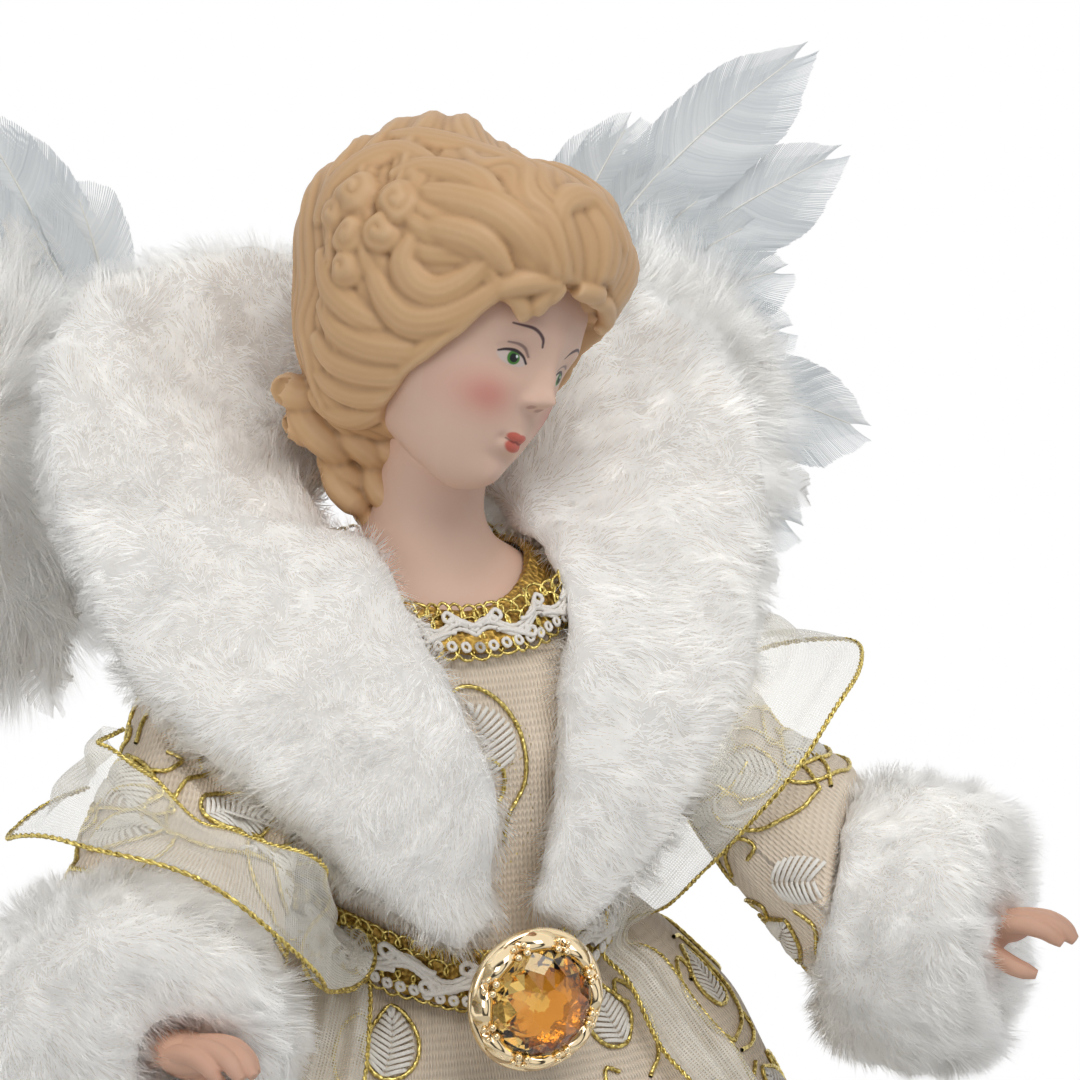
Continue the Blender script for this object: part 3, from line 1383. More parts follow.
sleeves = {}
for hand, side in sides.items():
    sleeve = packed_skin(f"sleeve_cloth_{hand}", f"sleeve_{hand}", voxel=0.8, smoothing=9)
    points = mesh_points(sleeve)
    along, across, up = arm_coordinates(points, side)
    crease = np.sin(along * 0.42 + 1.4 * noise(points, 16, 51)) * smoothstep(up, -14, 6)
    points = points + point_normals(sleeve) * (0.45 * crease + 0.5 * noise(points, 12, 52))[:, None]
    set_points(sleeve, points)
    cloth_coordinates(sleeve, np.arctan2(up, across) * 17, along)
    finish_piece(sleeve, f"arm_{hand}", brocade, [f"sleeve_{hand}"])
    sleeves[hand] = sleeve
    print("sleeve faces", len(sleeve.data.polygons))


# %% Laying flat drawings on a cloth
HOOP_LIFT = 14
HOOP_REACH = 40
SIGHT = 600


class Hoop:
    """A flat frame held over the cloth: drawings in it are dropped onto the cloth below."""

    def __init__(self, tree, spot, normal, turn):
        self.tree = tree
        self.spot = np.array(spot)
        self.normal = unit(np.array(normal))
        side = unit(np.cross([0, 0, 1], self.normal))
        up = np.cross(self.normal, side)
        self.side = side * math.cos(turn) + up * math.sin(turn)
        self.up = up * math.cos(turn) - side * math.sin(turn)

    def lay(self, drawing, lift):
        """The points of a flat drawing on the cloth, lifted off it, with the cloth's normals."""
        laid = []
        normals = []
        for x, y in drawing:
            start = self.spot + self.side * x + self.up * y + self.normal * HOOP_LIFT
            spot, normal, _, _ = self.tree.ray_cast(Vector(start), Vector(-self.normal), HOOP_REACH)
            if spot is None:
                return None
            if normal.dot(Vector(self.normal)) < 0:
                normal = -normal
            laid.append(np.array(spot) + np.array(normal) * lift)
            normals.append(np.array(normal))
        return np.array(laid), np.array(normals)


def hoop_at(tree, start, aim, turn):
    """A hoop where the ray from start towards aim meets the cloth."""
    start = np.array(start, float)
    ray = unit(np.array(aim, float) - start)
    spot, normal, _, _ = tree.ray_cast(Vector(start), Vector(ray), SIGHT)
    if spot is None:
        return None
    if normal.dot(Vector(ray)) > 0:
        normal = -normal
    return Hoop(tree, spot, normal, turn)


def hoop_in_photo(tree, x, y, turn):
    """A hoop where a pixel of the photograph shows the cloth."""
    return hoop_at(tree, eye, eye + photo_ray(x, y) * SIGHT, turn)


# %% Cords and stitches, gathered in one mesh for each cloth
CORD_RADIUS = 0.36
CORD_SIDES = 7


class Work:
    """Collects cords and stitches, then makes one mesh of each kind."""

    def __init__(self):
        self.cords = []
        self.stitches = []

    def cord(self, laid):
        if laid is not None:
            self.cords.append((laid[0], CORD_RADIUS))

    def stitch(self, laid):
        if laid is not None:
            self.stitches.append(laid)

    def make(self, name, body):
        cords = many_tubes(f"{name}_gold_cord", self.cords, CORD_SIDES)
        finish_piece(cords, body, gold_cord)
        stitches = satin_mesh(f"{name}_satin_stitch", self.stitches)
        finish_piece(stitches, body, satin_thread)
        print(name, "cords", len(self.cords), "stitches", len(self.stitches))


def many_tubes(name, cords, sides_count):
    points = []
    faces = []
    start = 0
    for line, radius in cords:
        radii = radius * (1 + 0.12 * np.sin(np.arange(len(line)) * 1.9))
        own = tube_points(line, radii, sides_count)
        points.append(own)
        faces.append(grid_faces(len(line), sides_count) + start)
        start += len(own)
    return add_mesh(name, np.concatenate(points), np.concatenate(faces))


STITCH_WAYS = np.array([0, 0.12, 0.5, 0.88, 1.0])
STITCH_RISES = np.array([-0.5, 0.7, 1.0, 0.7, -0.5])
STITCH_WIDTH = 0.62
STITCH_RISE = 0.42


def satin_mesh(name, stitches):
    """Each stitch is a low arch of thread between its two ends, three points across."""
    points = []
    faces = []
    arch_faces = grid_faces(len(STITCH_WAYS), 3, closed=False)
    for k, ((first, middle, last), normals) in enumerate(stitches):
        normal = unit(normals.mean(axis=0))
        line = first + (last - first) * STITCH_WAYS[:, None] + normal * (STITCH_RISE * STITCH_RISES)[:, None]
        line[2] += middle - (first + last) / 2
        across = unit(np.cross(last - first, normal)) * STITCH_WIDTH / 2
        rows = np.stack([line - across, line + normal * STITCH_WIDTH * 0.35, line + across], axis=1)
        points.append(rows.reshape(-1, 3))
        faces.append(arch_faces + len(STITCH_WAYS) * 3 * k)
    return add_mesh(name, np.concatenate(points), np.concatenate(faces))


# %% Metal cord and satin thread
def glitter(look, per_mm, dark, light, strength, depth):
    """Cells of light and dark tilt the surface this way and that, as on wrapped metal thread."""
    cells = add_node(look, "ShaderNodeTexVoronoi", Scale=per_mm / MM)
    wire(look, object_place(look), cells.inputs["Vector"])
    two_tones(look, cells.outputs["Distance"], dark, light)
    bump(look, cells.outputs["Distance"], strength, depth)


gold_cord = new_material("gold_metal_cord", 0.28, Metallic=1.0)
glitter(gold_cord, 1.6, (138, 112, 44), (252, 232, 144), 0.9, 0.2)
satin_thread = mottled(
    "white_satin_thread", 0.42, (226, 218, 204), (252, 250, 246), (2.5, 3), (2.5, 3, 0.3, 0.1),
    Specular_IOR_Level=0.5, Sheen_Weight=0.4,
)


# %% Motifs, drawn flat in millimetres from their stem upwards
def leaf_spine(length, bend, way):
    return np.stack([bend * length * way ** 2, length * way * (1 - 0.12 * way)], axis=-1)


def leaf_half(width, way):
    return width / 2 * np.sin(math.pi * np.clip(way, 0, 1) ** 0.75) ** 0.75


LEAF_STEPS = 40
LEAF_PITCH = 0.95
LEAF_LEAST = 0.7
STITCH_LIFT = 0.25
EDGE_LIFT = 0.4
SCROLL_LIFT = 0.35
SCROLL_STEP = 0.5


def leaf_edge(length, width, bend, hand, way):
    spine = leaf_spine(length, bend, way)
    along = unit(np.gradient(spine, axis=0))
    out = np.stack([along[:, 1], -along[:, 0]], axis=-1) * hand
    return spine + out * leaf_half(width, way)[:, None]


def leaf(work, hoop, length, width, bend, filled, corded):
    """A leaf of satin stitch on the sides named in filled, edged with cord on those in corded."""
    way = np.linspace(0, 1, LEAF_STEPS)
    for hand in filled:
        stitches = int(length / LEAF_PITCH)
        for k in range(stitches):
            share = (k + 0.5) / stitches
            stop = min(share + 0.16, 1.0)
            start = leaf_spine(length, bend, np.array([share]))[0]
            edge = leaf_edge(length, width, bend, hand, way)
            end = np.array([np.interp(stop, way, edge[:, 0]), np.interp(stop, way, edge[:, 1])])
            end = start + (end - start) * 0.95
            if np.linalg.norm(end - start) > LEAF_LEAST:
                work.stitch(hoop.lay([start, (start + end) / 2, end], STITCH_LIFT))
    for hand in corded:
        work.cord(hoop.lay(leaf_edge(length, width * 1.12, bend, hand, way), EDGE_LIFT))


def scroll(work, hoop, points):
    """A couched cord along a smooth flat line."""
    points = np.array(points, float)
    count = int(np.linalg.norm(np.diff(points, axis=0), axis=1).sum() / SCROLL_STEP) + 8
    work.cord(hoop.lay(smooth_line(points, count), SCROLL_LIFT))


# the cords beside a spray's leaf, in shares of its size
SPRAY_LOOPS = (
    [(0, -0.5), (-0.3, -0.25), (-0.55, 0.2), (-0.5, 0.7), (-0.1, 1.08), (0.25, 1.02)],
    [(0, -0.5), (0.34, -0.34), (0.62, 0.02), (0.66, 0.42), (0.5, 0.66), (0.34, 0.5), (0.44, 0.34)],
    [(-0.1, -0.62), (-0.42, -0.5), (-0.6, -0.24), (-0.46, -0.06), (-0.32, -0.2)],
)


def spray(work, hoop, size, hand):
    """A leaf of white arcs inside a gold outline, with cords that loop beside it and curl."""
    if hoop is None:
        return
    leaf(work, hoop, size, size * 0.6, 0.22 * hand, (hand, -hand), (hand, -hand))
    for loop in SPRAY_LOOPS:
        scroll(work, hoop, [(hand * x * size, y * size) for x, y in loop])


# %% The chest: a tall leaf between looped cords, where the photograph shows it
bodice_tree = tree_of(bodice)
chest = Work()
CHEST_LEAF_PIXEL = (488, 778)
chest_hoop = hoop_in_photo(bodice_tree, *CHEST_LEAF_PIXEL, turn=0.1)
leaf(chest, chest_hoop, length=13.5, width=12.5, bend=-0.1, filled=(1,), corded=())
CHEST_LOOPS = (
    [(-6.5, 8.5), (-4.5, 13), (-0.5, 14.2), (4, 11), (6.6, 5.5), (6.2, -1.5), (2.6, -6.5), (1.2, -10.5)],
    [(-3.0, -6.0), (1.2, -4.0), (2.6, 0.2), (0.2, 2.9), (-2.8, 1.4)],
)
for loop in CHEST_LOOPS:
    scroll(chest, chest_hoop, loop)
for turn_share in np.linspace(0.16, 0.84, 5):
    angle = 2 * math.pi * turn_share - math.pi / 2
    for height, size, hand in ((293, 15, 1), (274, 12, -1)):
        start = np.array([RAY_START * math.cos(angle), RAY_START * math.sin(angle), height])
        spray(chest, hoop_at(bodice_tree, start, (0, 0, height), 0.4 * hand), size, hand)
chest.make("bodice", "torso")

# %% The sleeves: sprays along and round each arm
for hand, side in sides.items():
    work = Work()
    tree = tree_of(sleeves[hand])
    start, out, across = arm_axes(side)
    for k, way in enumerate((0.02, 0.3, 0.56)):
        for m in range(6):
            angle = 2 * math.pi * (m + 0.5 * (k % 2)) / 6 + 0.2
            middle = start + out * way * ARM_REACH - np.array([0, 0, arm_at(way)[0]])
            away = across * math.cos(angle) + np.array([0, 0, math.sin(angle)])
            bearing = 1.3 * side if math.sin(angle) > 0 else -1.3 * side
            spray(work, hoop_at(tree, middle + away * 60, middle, bearing), 13.5, 1 if (k + m) % 2 else -1)
    work.make(f"sleeve_{hand}", f"arm_{hand}")

# %% The skirt: rows of sprays between the belt and the hem, each turned a little from its neighbours
skirt_tree = tree_of(skirt)
work = Work()
SPRAY_PITCH = 27
SPRAY_HEIGHTS = (44, 70, 96, 122, 148, 173, 197, 219, 238)
# heights, and about how far out the skirt lies there
SKIRT_REACH = ([0, 130, 200, 240, 262], [101, 86, 68, 50, 33])
PANEL_HALF = 20
for m, height in enumerate(SPRAY_HEIGHTS):
    reach = float(np.interp(height, *SKIRT_REACH))
    around = max(int(2 * math.pi * reach / SPRAY_PITCH), 8)
    for k in range(around):
        angle = 2 * math.pi * (k + 0.5 * (m % 2)) / around - math.pi / 2
        from_front = abs((angle + math.pi / 2 + math.pi) % (2 * math.pi) - math.pi)
        if from_front * reach < PANEL_HALF:
            continue
        hand = 1 if (k + m) % 2 else -1
        start = np.array([300 * math.cos(angle), 300 * math.sin(angle), height])
        hoop = hoop_at(skirt_tree, start, (0, 0, height), 0.55 * hand + 0.2 * math.sin(3.1 * k + m))
        spray(work, hoop, 15.5 if height < 210 else 13, hand)
work.make("skirt", "torso")

# %% [markdown]
# ## Gimp braid at the neckline and the belt
#
# Both braids are a scroll gimp: white cords that branch from a stem and end in small curls, laid over
# looped gold thread. A cord's place is given by the distance round the braid and the height on it.
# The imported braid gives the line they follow, as its middle height and reach at each angle.

# %% A band's middle line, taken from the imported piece
BAND_STEPS = 96


class Band:
    """Places on a braid: distance round it from the front, and height above its middle."""

    def __init__(self, node, lift):
        points = mesh_points(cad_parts[node])
        steps = np.linspace(-math.pi, math.pi, BAND_STEPS, endpoint=False)
        reach = np.linalg.norm(points[:, :2], axis=1)
        rows = []
        for step in steps:
            near = near_turn(points, step, 0.16)
            heights = points[near, 2]
            middle = (heights.max() + heights.min()) / 2
            high = near & (points[:, 2] > middle)
            low = near & (points[:, 2] <= middle)
            rows.append([middle, reach[low].max(), reach[high].max(), heights.max() - heights.min()])
        rows = eased_ring(rows, 2)
        self.steps = np.append(steps, math.pi)
        self.rows = np.vstack([rows, rows[:1]])
        self.lift = lift
        middle = self.at(self.steps, 0)[0]
        gaps = np.linalg.norm(np.diff(middle, axis=0), axis=1)
        self.travel = np.concatenate([[0], np.cumsum(gaps)])
        self.length = self.travel[-1]

    def at(self, angle, up):
        angle = np.asarray(angle, float)
        middle, low, high, tall = (np.interp(angle, self.steps, self.rows[:, k]) for k in range(4))
        share = np.clip(0.5 + np.asarray(up) / np.maximum(tall, 1), 0, 1)
        reach = low + (high - low) * share + self.lift
        spot = np.stack([reach * np.sin(angle), -reach * np.cos(angle), middle + up], axis=-1)
        out = np.stack([np.sin(angle), -np.cos(angle), (low - high) / np.maximum(tall, 1)], axis=-1)
        return spot, unit(out)

    def place(self, along, up, lift):
        """Points for distances along the band from its front, and heights on it."""
        way = (np.asarray(along, float) + self.length / 2) % self.length
        angle = np.interp(way, self.travel, self.steps)
        spot, out = self.at(angle, np.asarray(up, float))
        return spot + out * np.asarray(lift)[..., None]


# %% The gimp: three cords that wave along the band, with hooks and picots, over gold loops
WAVE_STEP = 0.3
HOOK_STEPS = 40
PICOT_PITCH = 2.1
PICOT_STEPS = 14
PICOT_RADIUS = 0.55
LOOP_STEP = 0.12
LOOP_RADIUS = 0.27


def gimp(band, scale, pitch, radius):
    """The white cords and the gold ones, as lines with their radius."""
    white = []
    gold = []
    half = band.length / 2
    way = np.arange(-half, half, WAVE_STEP)
    fade = smoothstep(np.abs(way), 0.0, pitch)
    wave = 0.42 * scale * np.sin(np.abs(way) * math.pi / pitch)
    for strand in (-1, 0, 1):
        line = band.place(way, wave + strand * radius * 1.75, 0.7 + 0.25 * (strand == 0) * fade)
        white.append((line, radius))
    for turn_at, start in enumerate(np.arange(0.5 * pitch, half - pitch, pitch)):
        rise = 1 if turn_at % 2 == 0 else -1
        for reach, curl in ((1.0, 0.42), (0.62, 0.3)):
            share = np.linspace(0, 1, HOOK_STEPS)
            stem = share < 0.5
            part = np.where(stem, share / 0.5, 1)
            along = start - 0.75 * pitch + (0.75 + 0.45 * reach) * pitch * part
            up = rise * scale * (0.25 + (0.95 * reach - 0.1) * part ** 1.6)
            turn = np.clip((share - 0.5) / 0.5, 0, 1) * 1.7 * math.pi
            size = curl * scale
            along = along + np.where(stem, 0, size * np.sin(turn))
            up = up + np.where(stem, 0, rise * size * (np.cos(turn) - 1) * 0.8)
            for hand in (1, -1):
                white.append((band.place(hand * along, up, 0.85 + 0.25 * reach), radius))
    turn = np.linspace(0, 2 * math.pi, PICOT_STEPS)
    for hand in (1, -1):
        for step in np.arange(0, half - 1, PICOT_PITCH):
            along = hand * step + PICOT_RADIUS * np.sin(turn)
            up = PICOT_RADIUS * np.cos(turn) - scale * 1.15
            white.append((band.place(along, up, 0.75), radius * 0.85))
    count = int(band.length / LOOP_STEP)
    for edge in (1, -1):
        for layer in (0, 1):
            way = np.linspace(-half, half, count)
            spin = way * 2 * math.pi / (2.3 + 0.3 * layer) + layer
            along = way + (0.85 + 0.1 * np.sin(way * 1.7)) * np.sin(spin)
            up = edge * (scale * (1.4 - 0.75 * layer) + (1.0 + 0.2 * np.sin(way * 2.3)) * np.cos(spin))
            gold.append((band.place(along, up, 0.25 + 0.3 * np.sin(spin * 0.5)), LOOP_RADIUS))
    return white, gold


# %% Both braids
braid_thread = mottled(
    "white_gimp_cord", 0.4, (222, 214, 203), (250, 247, 242), (3, 3), (5, 3, 0.3, 0.08),
    Specular_IOR_Level=0.5,
)
braid_ground = new_material("gold_gimp_ground", 0.45, Metallic=0.75)
glitter(braid_ground, 1.1, (120, 88, 34), (214, 176, 88), 1.0, 0.35)
GROUND_SUNK = 0.35

for node, scale, pitch, radius in (
    ("neckline_braid", 2.0, 4.4, 0.36),
    ("belt_braid", 2.7, 6.4, 0.44),
):
    ground = packed_skin(f"{node}_ground", node, voxel=0.5, smoothing=4)
    set_points(ground, mesh_points(ground) - point_normals(ground) * GROUND_SUNK)
    finish_piece(ground, "torso", braid_ground, [node])
    white, gold = gimp(Band(node, -0.1), scale, pitch, radius)
    finish_piece(many_tubes(f"{node}_white_scroll", white, 7), "torso", braid_thread, [node])
    finish_piece(many_tubes(f"{node}_gold_loops", gold, 5), "torso", gold_cord, [node])
    print(node, "white cords", len(white))

# %% [markdown]
# ## The brooch
#
# A flat-back amber stone sits in a scalloped cup, pressed from thin brass and plated. Eight petals
# curve up round the stone, a pair of claw beads holds it between every two, and a rim runs round the
# back. The stone is cut in flat facets round a table, over a foil back that throws the light out again.

# %% Where the brooch is, from its packed setting
setting_low, setting_high = corners_of("brooch_setting")
BROOCH_BACK = np.array([0, setting_high[1], (setting_low[2] + setting_high[2]) / 2])
BROOCH_RADIUS = (setting_high[0] - setting_low[0]) / 2
STONE_RADIUS = np.ptp(corners_of("brooch_stone")[:, 0]) / 2
PETALS = 8
CLAW_BEADS = [
    # how far outside the stone, height, radius
    (0.15, 3.9, 0.62),
    (1.35, 3.2, 0.5),
]
print("brooch radius", round(BROOCH_RADIUS, 1), "stone radius", round(STONE_RADIUS, 1))


def on_brooch(across, up, forward):
    """From the brooch's own face to the shared frame."""
    across, up, forward = np.broadcast_arrays(across, up, forward)
    return BROOCH_BACK + np.stack([across, -forward, up], axis=-1)


def turned_sheet(name, rows, columns, shape):
    """A sheet round the brooch's middle: shape gives radius and height for a row's share and an angle."""
    angle = 2 * math.pi * np.arange(columns) / columns
    share = np.linspace(0, 1, rows)[:, None]
    radius, forward = shape(share, angle[None, :])
    radius = radius + 0 * angle[None, :]
    points = on_brooch(radius * np.cos(angle), radius * np.sin(angle), forward + 0 * radius)
    return add_mesh(name, points.reshape(-1, 3), grid_faces(rows, columns))


def petal_shape(share, angle):
    lobe = np.abs(np.cos(PETALS / 2 * angle)) ** 0.7
    radius = STONE_RADIUS - 0.5 + (BROOCH_RADIUS - 1.1 - STONE_RADIUS + 0.9 * lobe + 0.5) * share
    forward = 2.1 + 1.5 * lobe * np.sin(math.pi * share) ** 0.8 + 1.0 * (1 - share) * (0.3 + lobe)
    return radius, forward


def rim_shape(share, angle):
    turn = 2 * math.pi * share
    return BROOCH_RADIUS - 0.75 + 0.75 * np.cos(turn), 1.3 + 1.0 * np.sin(turn) + 0 * angle


def cup_shape(share, angle):
    return (BROOCH_RADIUS - 0.8) * share + 0 * angle, 0.5 + 1.2 * share + 0 * angle


brooch_parts = [
    turned_sheet("petals", rows=18, columns=288, shape=petal_shape),
    turned_sheet("rim", rows=17, columns=160, shape=rim_shape),
    turned_sheet("cup", rows=6, columns=96, shape=cup_shape),
]
for k in range(PETALS):
    for shift in (-0.09, 0.09):
        angle = 2 * math.pi * (k + 0.5) / PETALS + shift
        for outside, height, size in CLAW_BEADS:
            reach = STONE_RADIUS + outside
            middle = on_brooch(reach * math.cos(angle), reach * math.sin(angle), height)
            brooch_parts.append(ball("claw_bead", middle, [size] * 3, columns=14, rows=9))
setting = join("brooch_setting_plated", brooch_parts)
for polygon in setting.data.polygons:
    polygon.use_smooth = True
plating = mottled(
    "pale_gold_plating", 0.07, (232, 204, 158), (250, 232, 196), (0.2, 3), (0.35, 3, 0.15, 0.25),
    Metallic=1.0,
)
finish_piece(setting, "torso", plating, ["brooch_setting"])
print("faces of the setting", len(setting.data.polygons))

# %% The stone: rings of corners joined by facets
STONE_BASE = 2.4


def ring_at(radius, forward, shift, count):
    angle = 2 * math.pi * (np.arange(count) + shift) / count
    return on_brooch(radius * np.cos(angle), radius * np.sin(angle), STONE_BASE + forward)


STONE_SIDES = 9
GIRDLE_RADIUS = STONE_RADIUS - 0.1
CULET_DEPTH = 2.0
# radius, height and shift of the corners' rings, from the table to the girdle, and the underside's ring
CROWN_RINGS = [
    (3.1, 4.7, 0),
    (5.4, 4.0, 0.5),
    (7.2, 2.7, 0),
    (GIRDLE_RADIUS, 1.2, 0.5),
    (GIRDLE_RADIUS, 1.2, 0),
]
UNDERSIDE_RING = (5.0, -1.1, 0.25)


def cut_stone():
    n = STONE_SIDES
    rings = [ring_at(*ring, n) for ring in CROWN_RINGS]
    points = np.concatenate(rings + [ring_at(GIRDLE_RADIUS, 0.3, 0, n * 2)])
    faces = [list(range(n))]
    for k in range(n):
        after = (k + 1) % n
        girdle = [3 * n + k, 4 * n + k, 4 * n + after]
        faces.append([k, n + k, after])
        faces.append([k, 2 * n + k, n + k])
        faces.append([n + k, 2 * n + after, after])
        faces.append([n + k, 2 * n + k, girdle[0], 2 * n + after])
        faces.append([2 * n + k, girdle[1], girdle[0]])
        faces.append([2 * n + after, girdle[0], girdle[2]])
        faces.append([4 * n + k, 5 * n + 2 * k, 5 * n + 2 * k + 1, 3 * n + k])
        faces.append([3 * n + k, 5 * n + 2 * k + 1, 5 * n + (2 * k + 2) % (2 * n), 4 * n + after])
    culet = len(points)
    middle = culet + 1
    points = np.vstack([points, on_brooch(0, 0, STONE_BASE - CULET_DEPTH), ring_at(*UNDERSIDE_RING, n)])
    for k in range(n):
        after = (k + 1) % n
        faces.append([culet, middle + after, middle + k])
        faces.append([middle + k, middle + after, 5 * n + (2 * k + 2) % (2 * n), 5 * n + 2 * k + 1])
        faces.append([middle + k, 5 * n + 2 * k + 1, 5 * n + 2 * k])
    mesh = bpy.data.meshes.new("amber_stone")
    mesh.from_pydata((points * MM).tolist(), [], faces)
    mesh.update()
    build = bmesh.new()
    build.from_mesh(mesh)
    bmesh.ops.recalc_face_normals(build, faces=build.faces)
    build.to_mesh(mesh)
    build.free()
    return new_object("amber_stone", mesh)


stone = cut_stone()
amber = mottled(
    "amber_glass", 0.02, (232, 190, 100), (242, 208, 124), (0.12, 2), IOR=1.58, Transmission_Weight=1.0,
)
finish_piece(stone, "torso", amber, ["brooch_stone"])
print("facets", len(stone.data.polygons))


# %% The foil behind the stone, pressed in facets
FOIL_DEPTH = 2.35
FOIL_RISE = 2.3


def foil_shape(share, angle):
    facet = 0.35 * np.abs(np.sin(STONE_SIDES / 2 * angle + 6 * share))
    rise = FOIL_RISE * share ** 1.5 + facet * (1 - share)
    return (STONE_RADIUS - 0.25) * share, STONE_BASE - FOIL_DEPTH + rise


foil = turned_sheet("stone_foil", rows=9, columns=54, shape=foil_shape)
for polygon in foil.data.polygons:
    polygon.use_smooth = False
foil_look = mottled("stone_foil_back", 0.12, (132, 100, 44), (232, 202, 120), (0.3, 2), Metallic=1.0)
finish_piece(foil, "torso", foil_look)
print("foil faces", len(foil.data.polygons))

# %% [markdown]
# ## Bisque hands
#
# The hands are cast too: small, plain and a little curved, with fingers that touch and a thumb that
# stands apart, so they can hold something. Palm, fingers and thumb are simple forms that one even skin
# then draws together, as with the hair.

# %% Hands
WRIST_TURNS = {1: math.radians(14), -1: math.radians(58)}
WRIST_START = 5
# points along a finger in millimetres from the wrist, across and up, and the finger's radius
FINGERS = [
    ([(9, -2.9, 0.8), (14.5, -3.5, 1.8), (19, -3.3, 1.2), (22.4, -2.8, -0.8)], 1.75),
    ([(9, -1.0, 1.1), (15.5, -1.2, 2.4), (20.6, -1.1, 1.7), (24.0, -0.9, -0.6)], 1.8),
    ([(9, 1.0, 1.1), (15.5, 1.2, 2.3), (20.3, 1.2, 1.6), (23.4, 1.1, -0.8)], 1.75),
    ([(9, 2.8, 0.6), (14, 3.3, 1.5), (17.8, 3.3, 0.8), (20.4, 3.0, -1.2)], 1.6),
    ([(4, -1.8, -1.6), (9, -3.4, -4.0), (13.6, -3.4, -6.0), (17.6, -2.4, -7.2)], 2.0),
]
PALM = [
    # middle, half sizes
    ((8.5, 0, 0.2), (6.8, 4.6, 3.3)),
    ((6.6, -1.6, -1.8), (5.2, 3.0, 3.0)),
]


def hand_matrix(side):
    start, out, across = arm_axes(side)
    bearing = math.atan2(out[1], out[0]) - side * WRIST_TURNS[side]
    wrist = start + out * ARM_REACH - np.array([0, 0, ARM_DROP])
    return Matrix.Translation(Vector(wrist)) @ Matrix.Rotation(bearing, 4, "Z")


hand_look = mottled(
    "bisque_hand", dark=(200, 154, 130), light=(218, 176, 152),
    mottle=(0.12, 3), relief=BISQUE_GRAIN, **UNGLAZED,
)
HAND_SCALE = 0.9
HAND_VOXEL = 0.22
FINGER_STEPS = 26
FINGER_SWELL = [1.0, 1.02, 0.94, 0.98, 0.9, 0.8, 0.45]
swell = np.interp(np.linspace(0, 1, FINGER_STEPS), np.linspace(0, 1, len(FINGER_SWELL)), FINGER_SWELL)

for hand, side in sides.items():
    parts = [tube("wrist", [(0, 0, 0), (3, 0, 0), (8, 0, 0)], [3.9, 3.5, 2.9], 20)]
    for middle, half in PALM:
        parts.append(ball("palm", middle, half, columns=28, rows=18))
    for stops, radius in FINGERS:
        parts.append(tube("finger", smooth_line(stops, FINGER_STEPS), radius * swell, 14))
    cast = remesh(join(f"cast_hand_{hand}", parts), HAND_VOXEL, smoothing=3)
    points = mesh_points(cast) * HAND_SCALE * np.array([1, side, 1]) + np.array([WRIST_START, 0, 1.5])
    if side < 0:
        cast.data.flip_normals()
    set_points(cast, place(points, hand_matrix(side)))
    finish_piece(cast, f"arm_{hand}", hand_look, [f"hand_{hand}"])
    print("hand faces", len(cast.data.polygons))

# %% [markdown]
# ## Organza sashes
#
# A stiff sheer ribbon goes over each sleeve, in at the belt, and down the skirt. It is one layer of
# cloth with gold at both edges, so it is an open grid swept along a line, wider where it is free and
# drawn together at the belt, with soft folds along it. The weave lets light and the cloth below through.

# %% Sheer weave: threads both ways, and open between
THREAD_PITCH = 0.42
ORGANZA_SHEEN = {"Specular_IOR_Level": 0.4, "Sheen_Weight": 0.5, "Sheen_Roughness": 0.3}
organza = new_material("sheer_organza", 0.42, **ORGANZA_SHEEN)
threads = []
for way_name in ("around", "down"):
    phase = times(organza, painted(organza, way_name), 2 * math.pi / THREAD_PITCH)
    threads.append(math_node(organza, "GREATER_THAN", math_node(organza, "SINE", phase), 0.35))
woven = math_node(organza, "MAXIMUM", *threads)
cloudy = noise_texture(organza, 0.25, 2)
cover = math_node(organza, "ADD", times(organza, woven, 0.38), times(organza, cloudy, 0.28))
wire(organza, math_node(organza, "ADD", cover, 0.08), shader_of(organza).inputs["Alpha"])
two_tones(organza, cloudy, (240, 235, 222), (254, 251, 242))
print("organza threads every", THREAD_PITCH, "mm")

# %% Where each sash lies
SASH_OVER = {
    # way along the arm, turn about it, lift, width
    1: [
        (0.22, 0.12, 3.0, 14),
        (0.4, 0.17, 13.0, 18),
        (0.56, 0.22, 14.0, 19),
        (0.6, 0.29, 12.0, 18),
        (0.52, 0.38, 9.0, 16),
        (0.4, 0.48, 5.5, 13),
    ],
    -1: [
        (0.32, 0.09, 1.8, 14),
        (0.54, 0.13, 6.5, 19),
        (0.77, 0.2, 6.5, 23),
        (0.88, 0.29, 6.5, 24),
        (0.82, 0.38, 6.5, 23),
        (0.63, 0.48, 6.0, 18),
    ],
}
SASH_DOWN = [
    # height, turn from its side towards the front, width
    (254, 0.12, 10),
    (246, 0.122, 12),
    (237, 0.122, 15),
    (217, 0.118, 19),
    (176, 0.11, 21),
    (118, 0.102, 22),
    (55, 0.098, 22),
]
SASH_ROWS = 420
SASH_COLUMNS = 29
SASH_LIFT = 2.0
SASH_EASING = 30


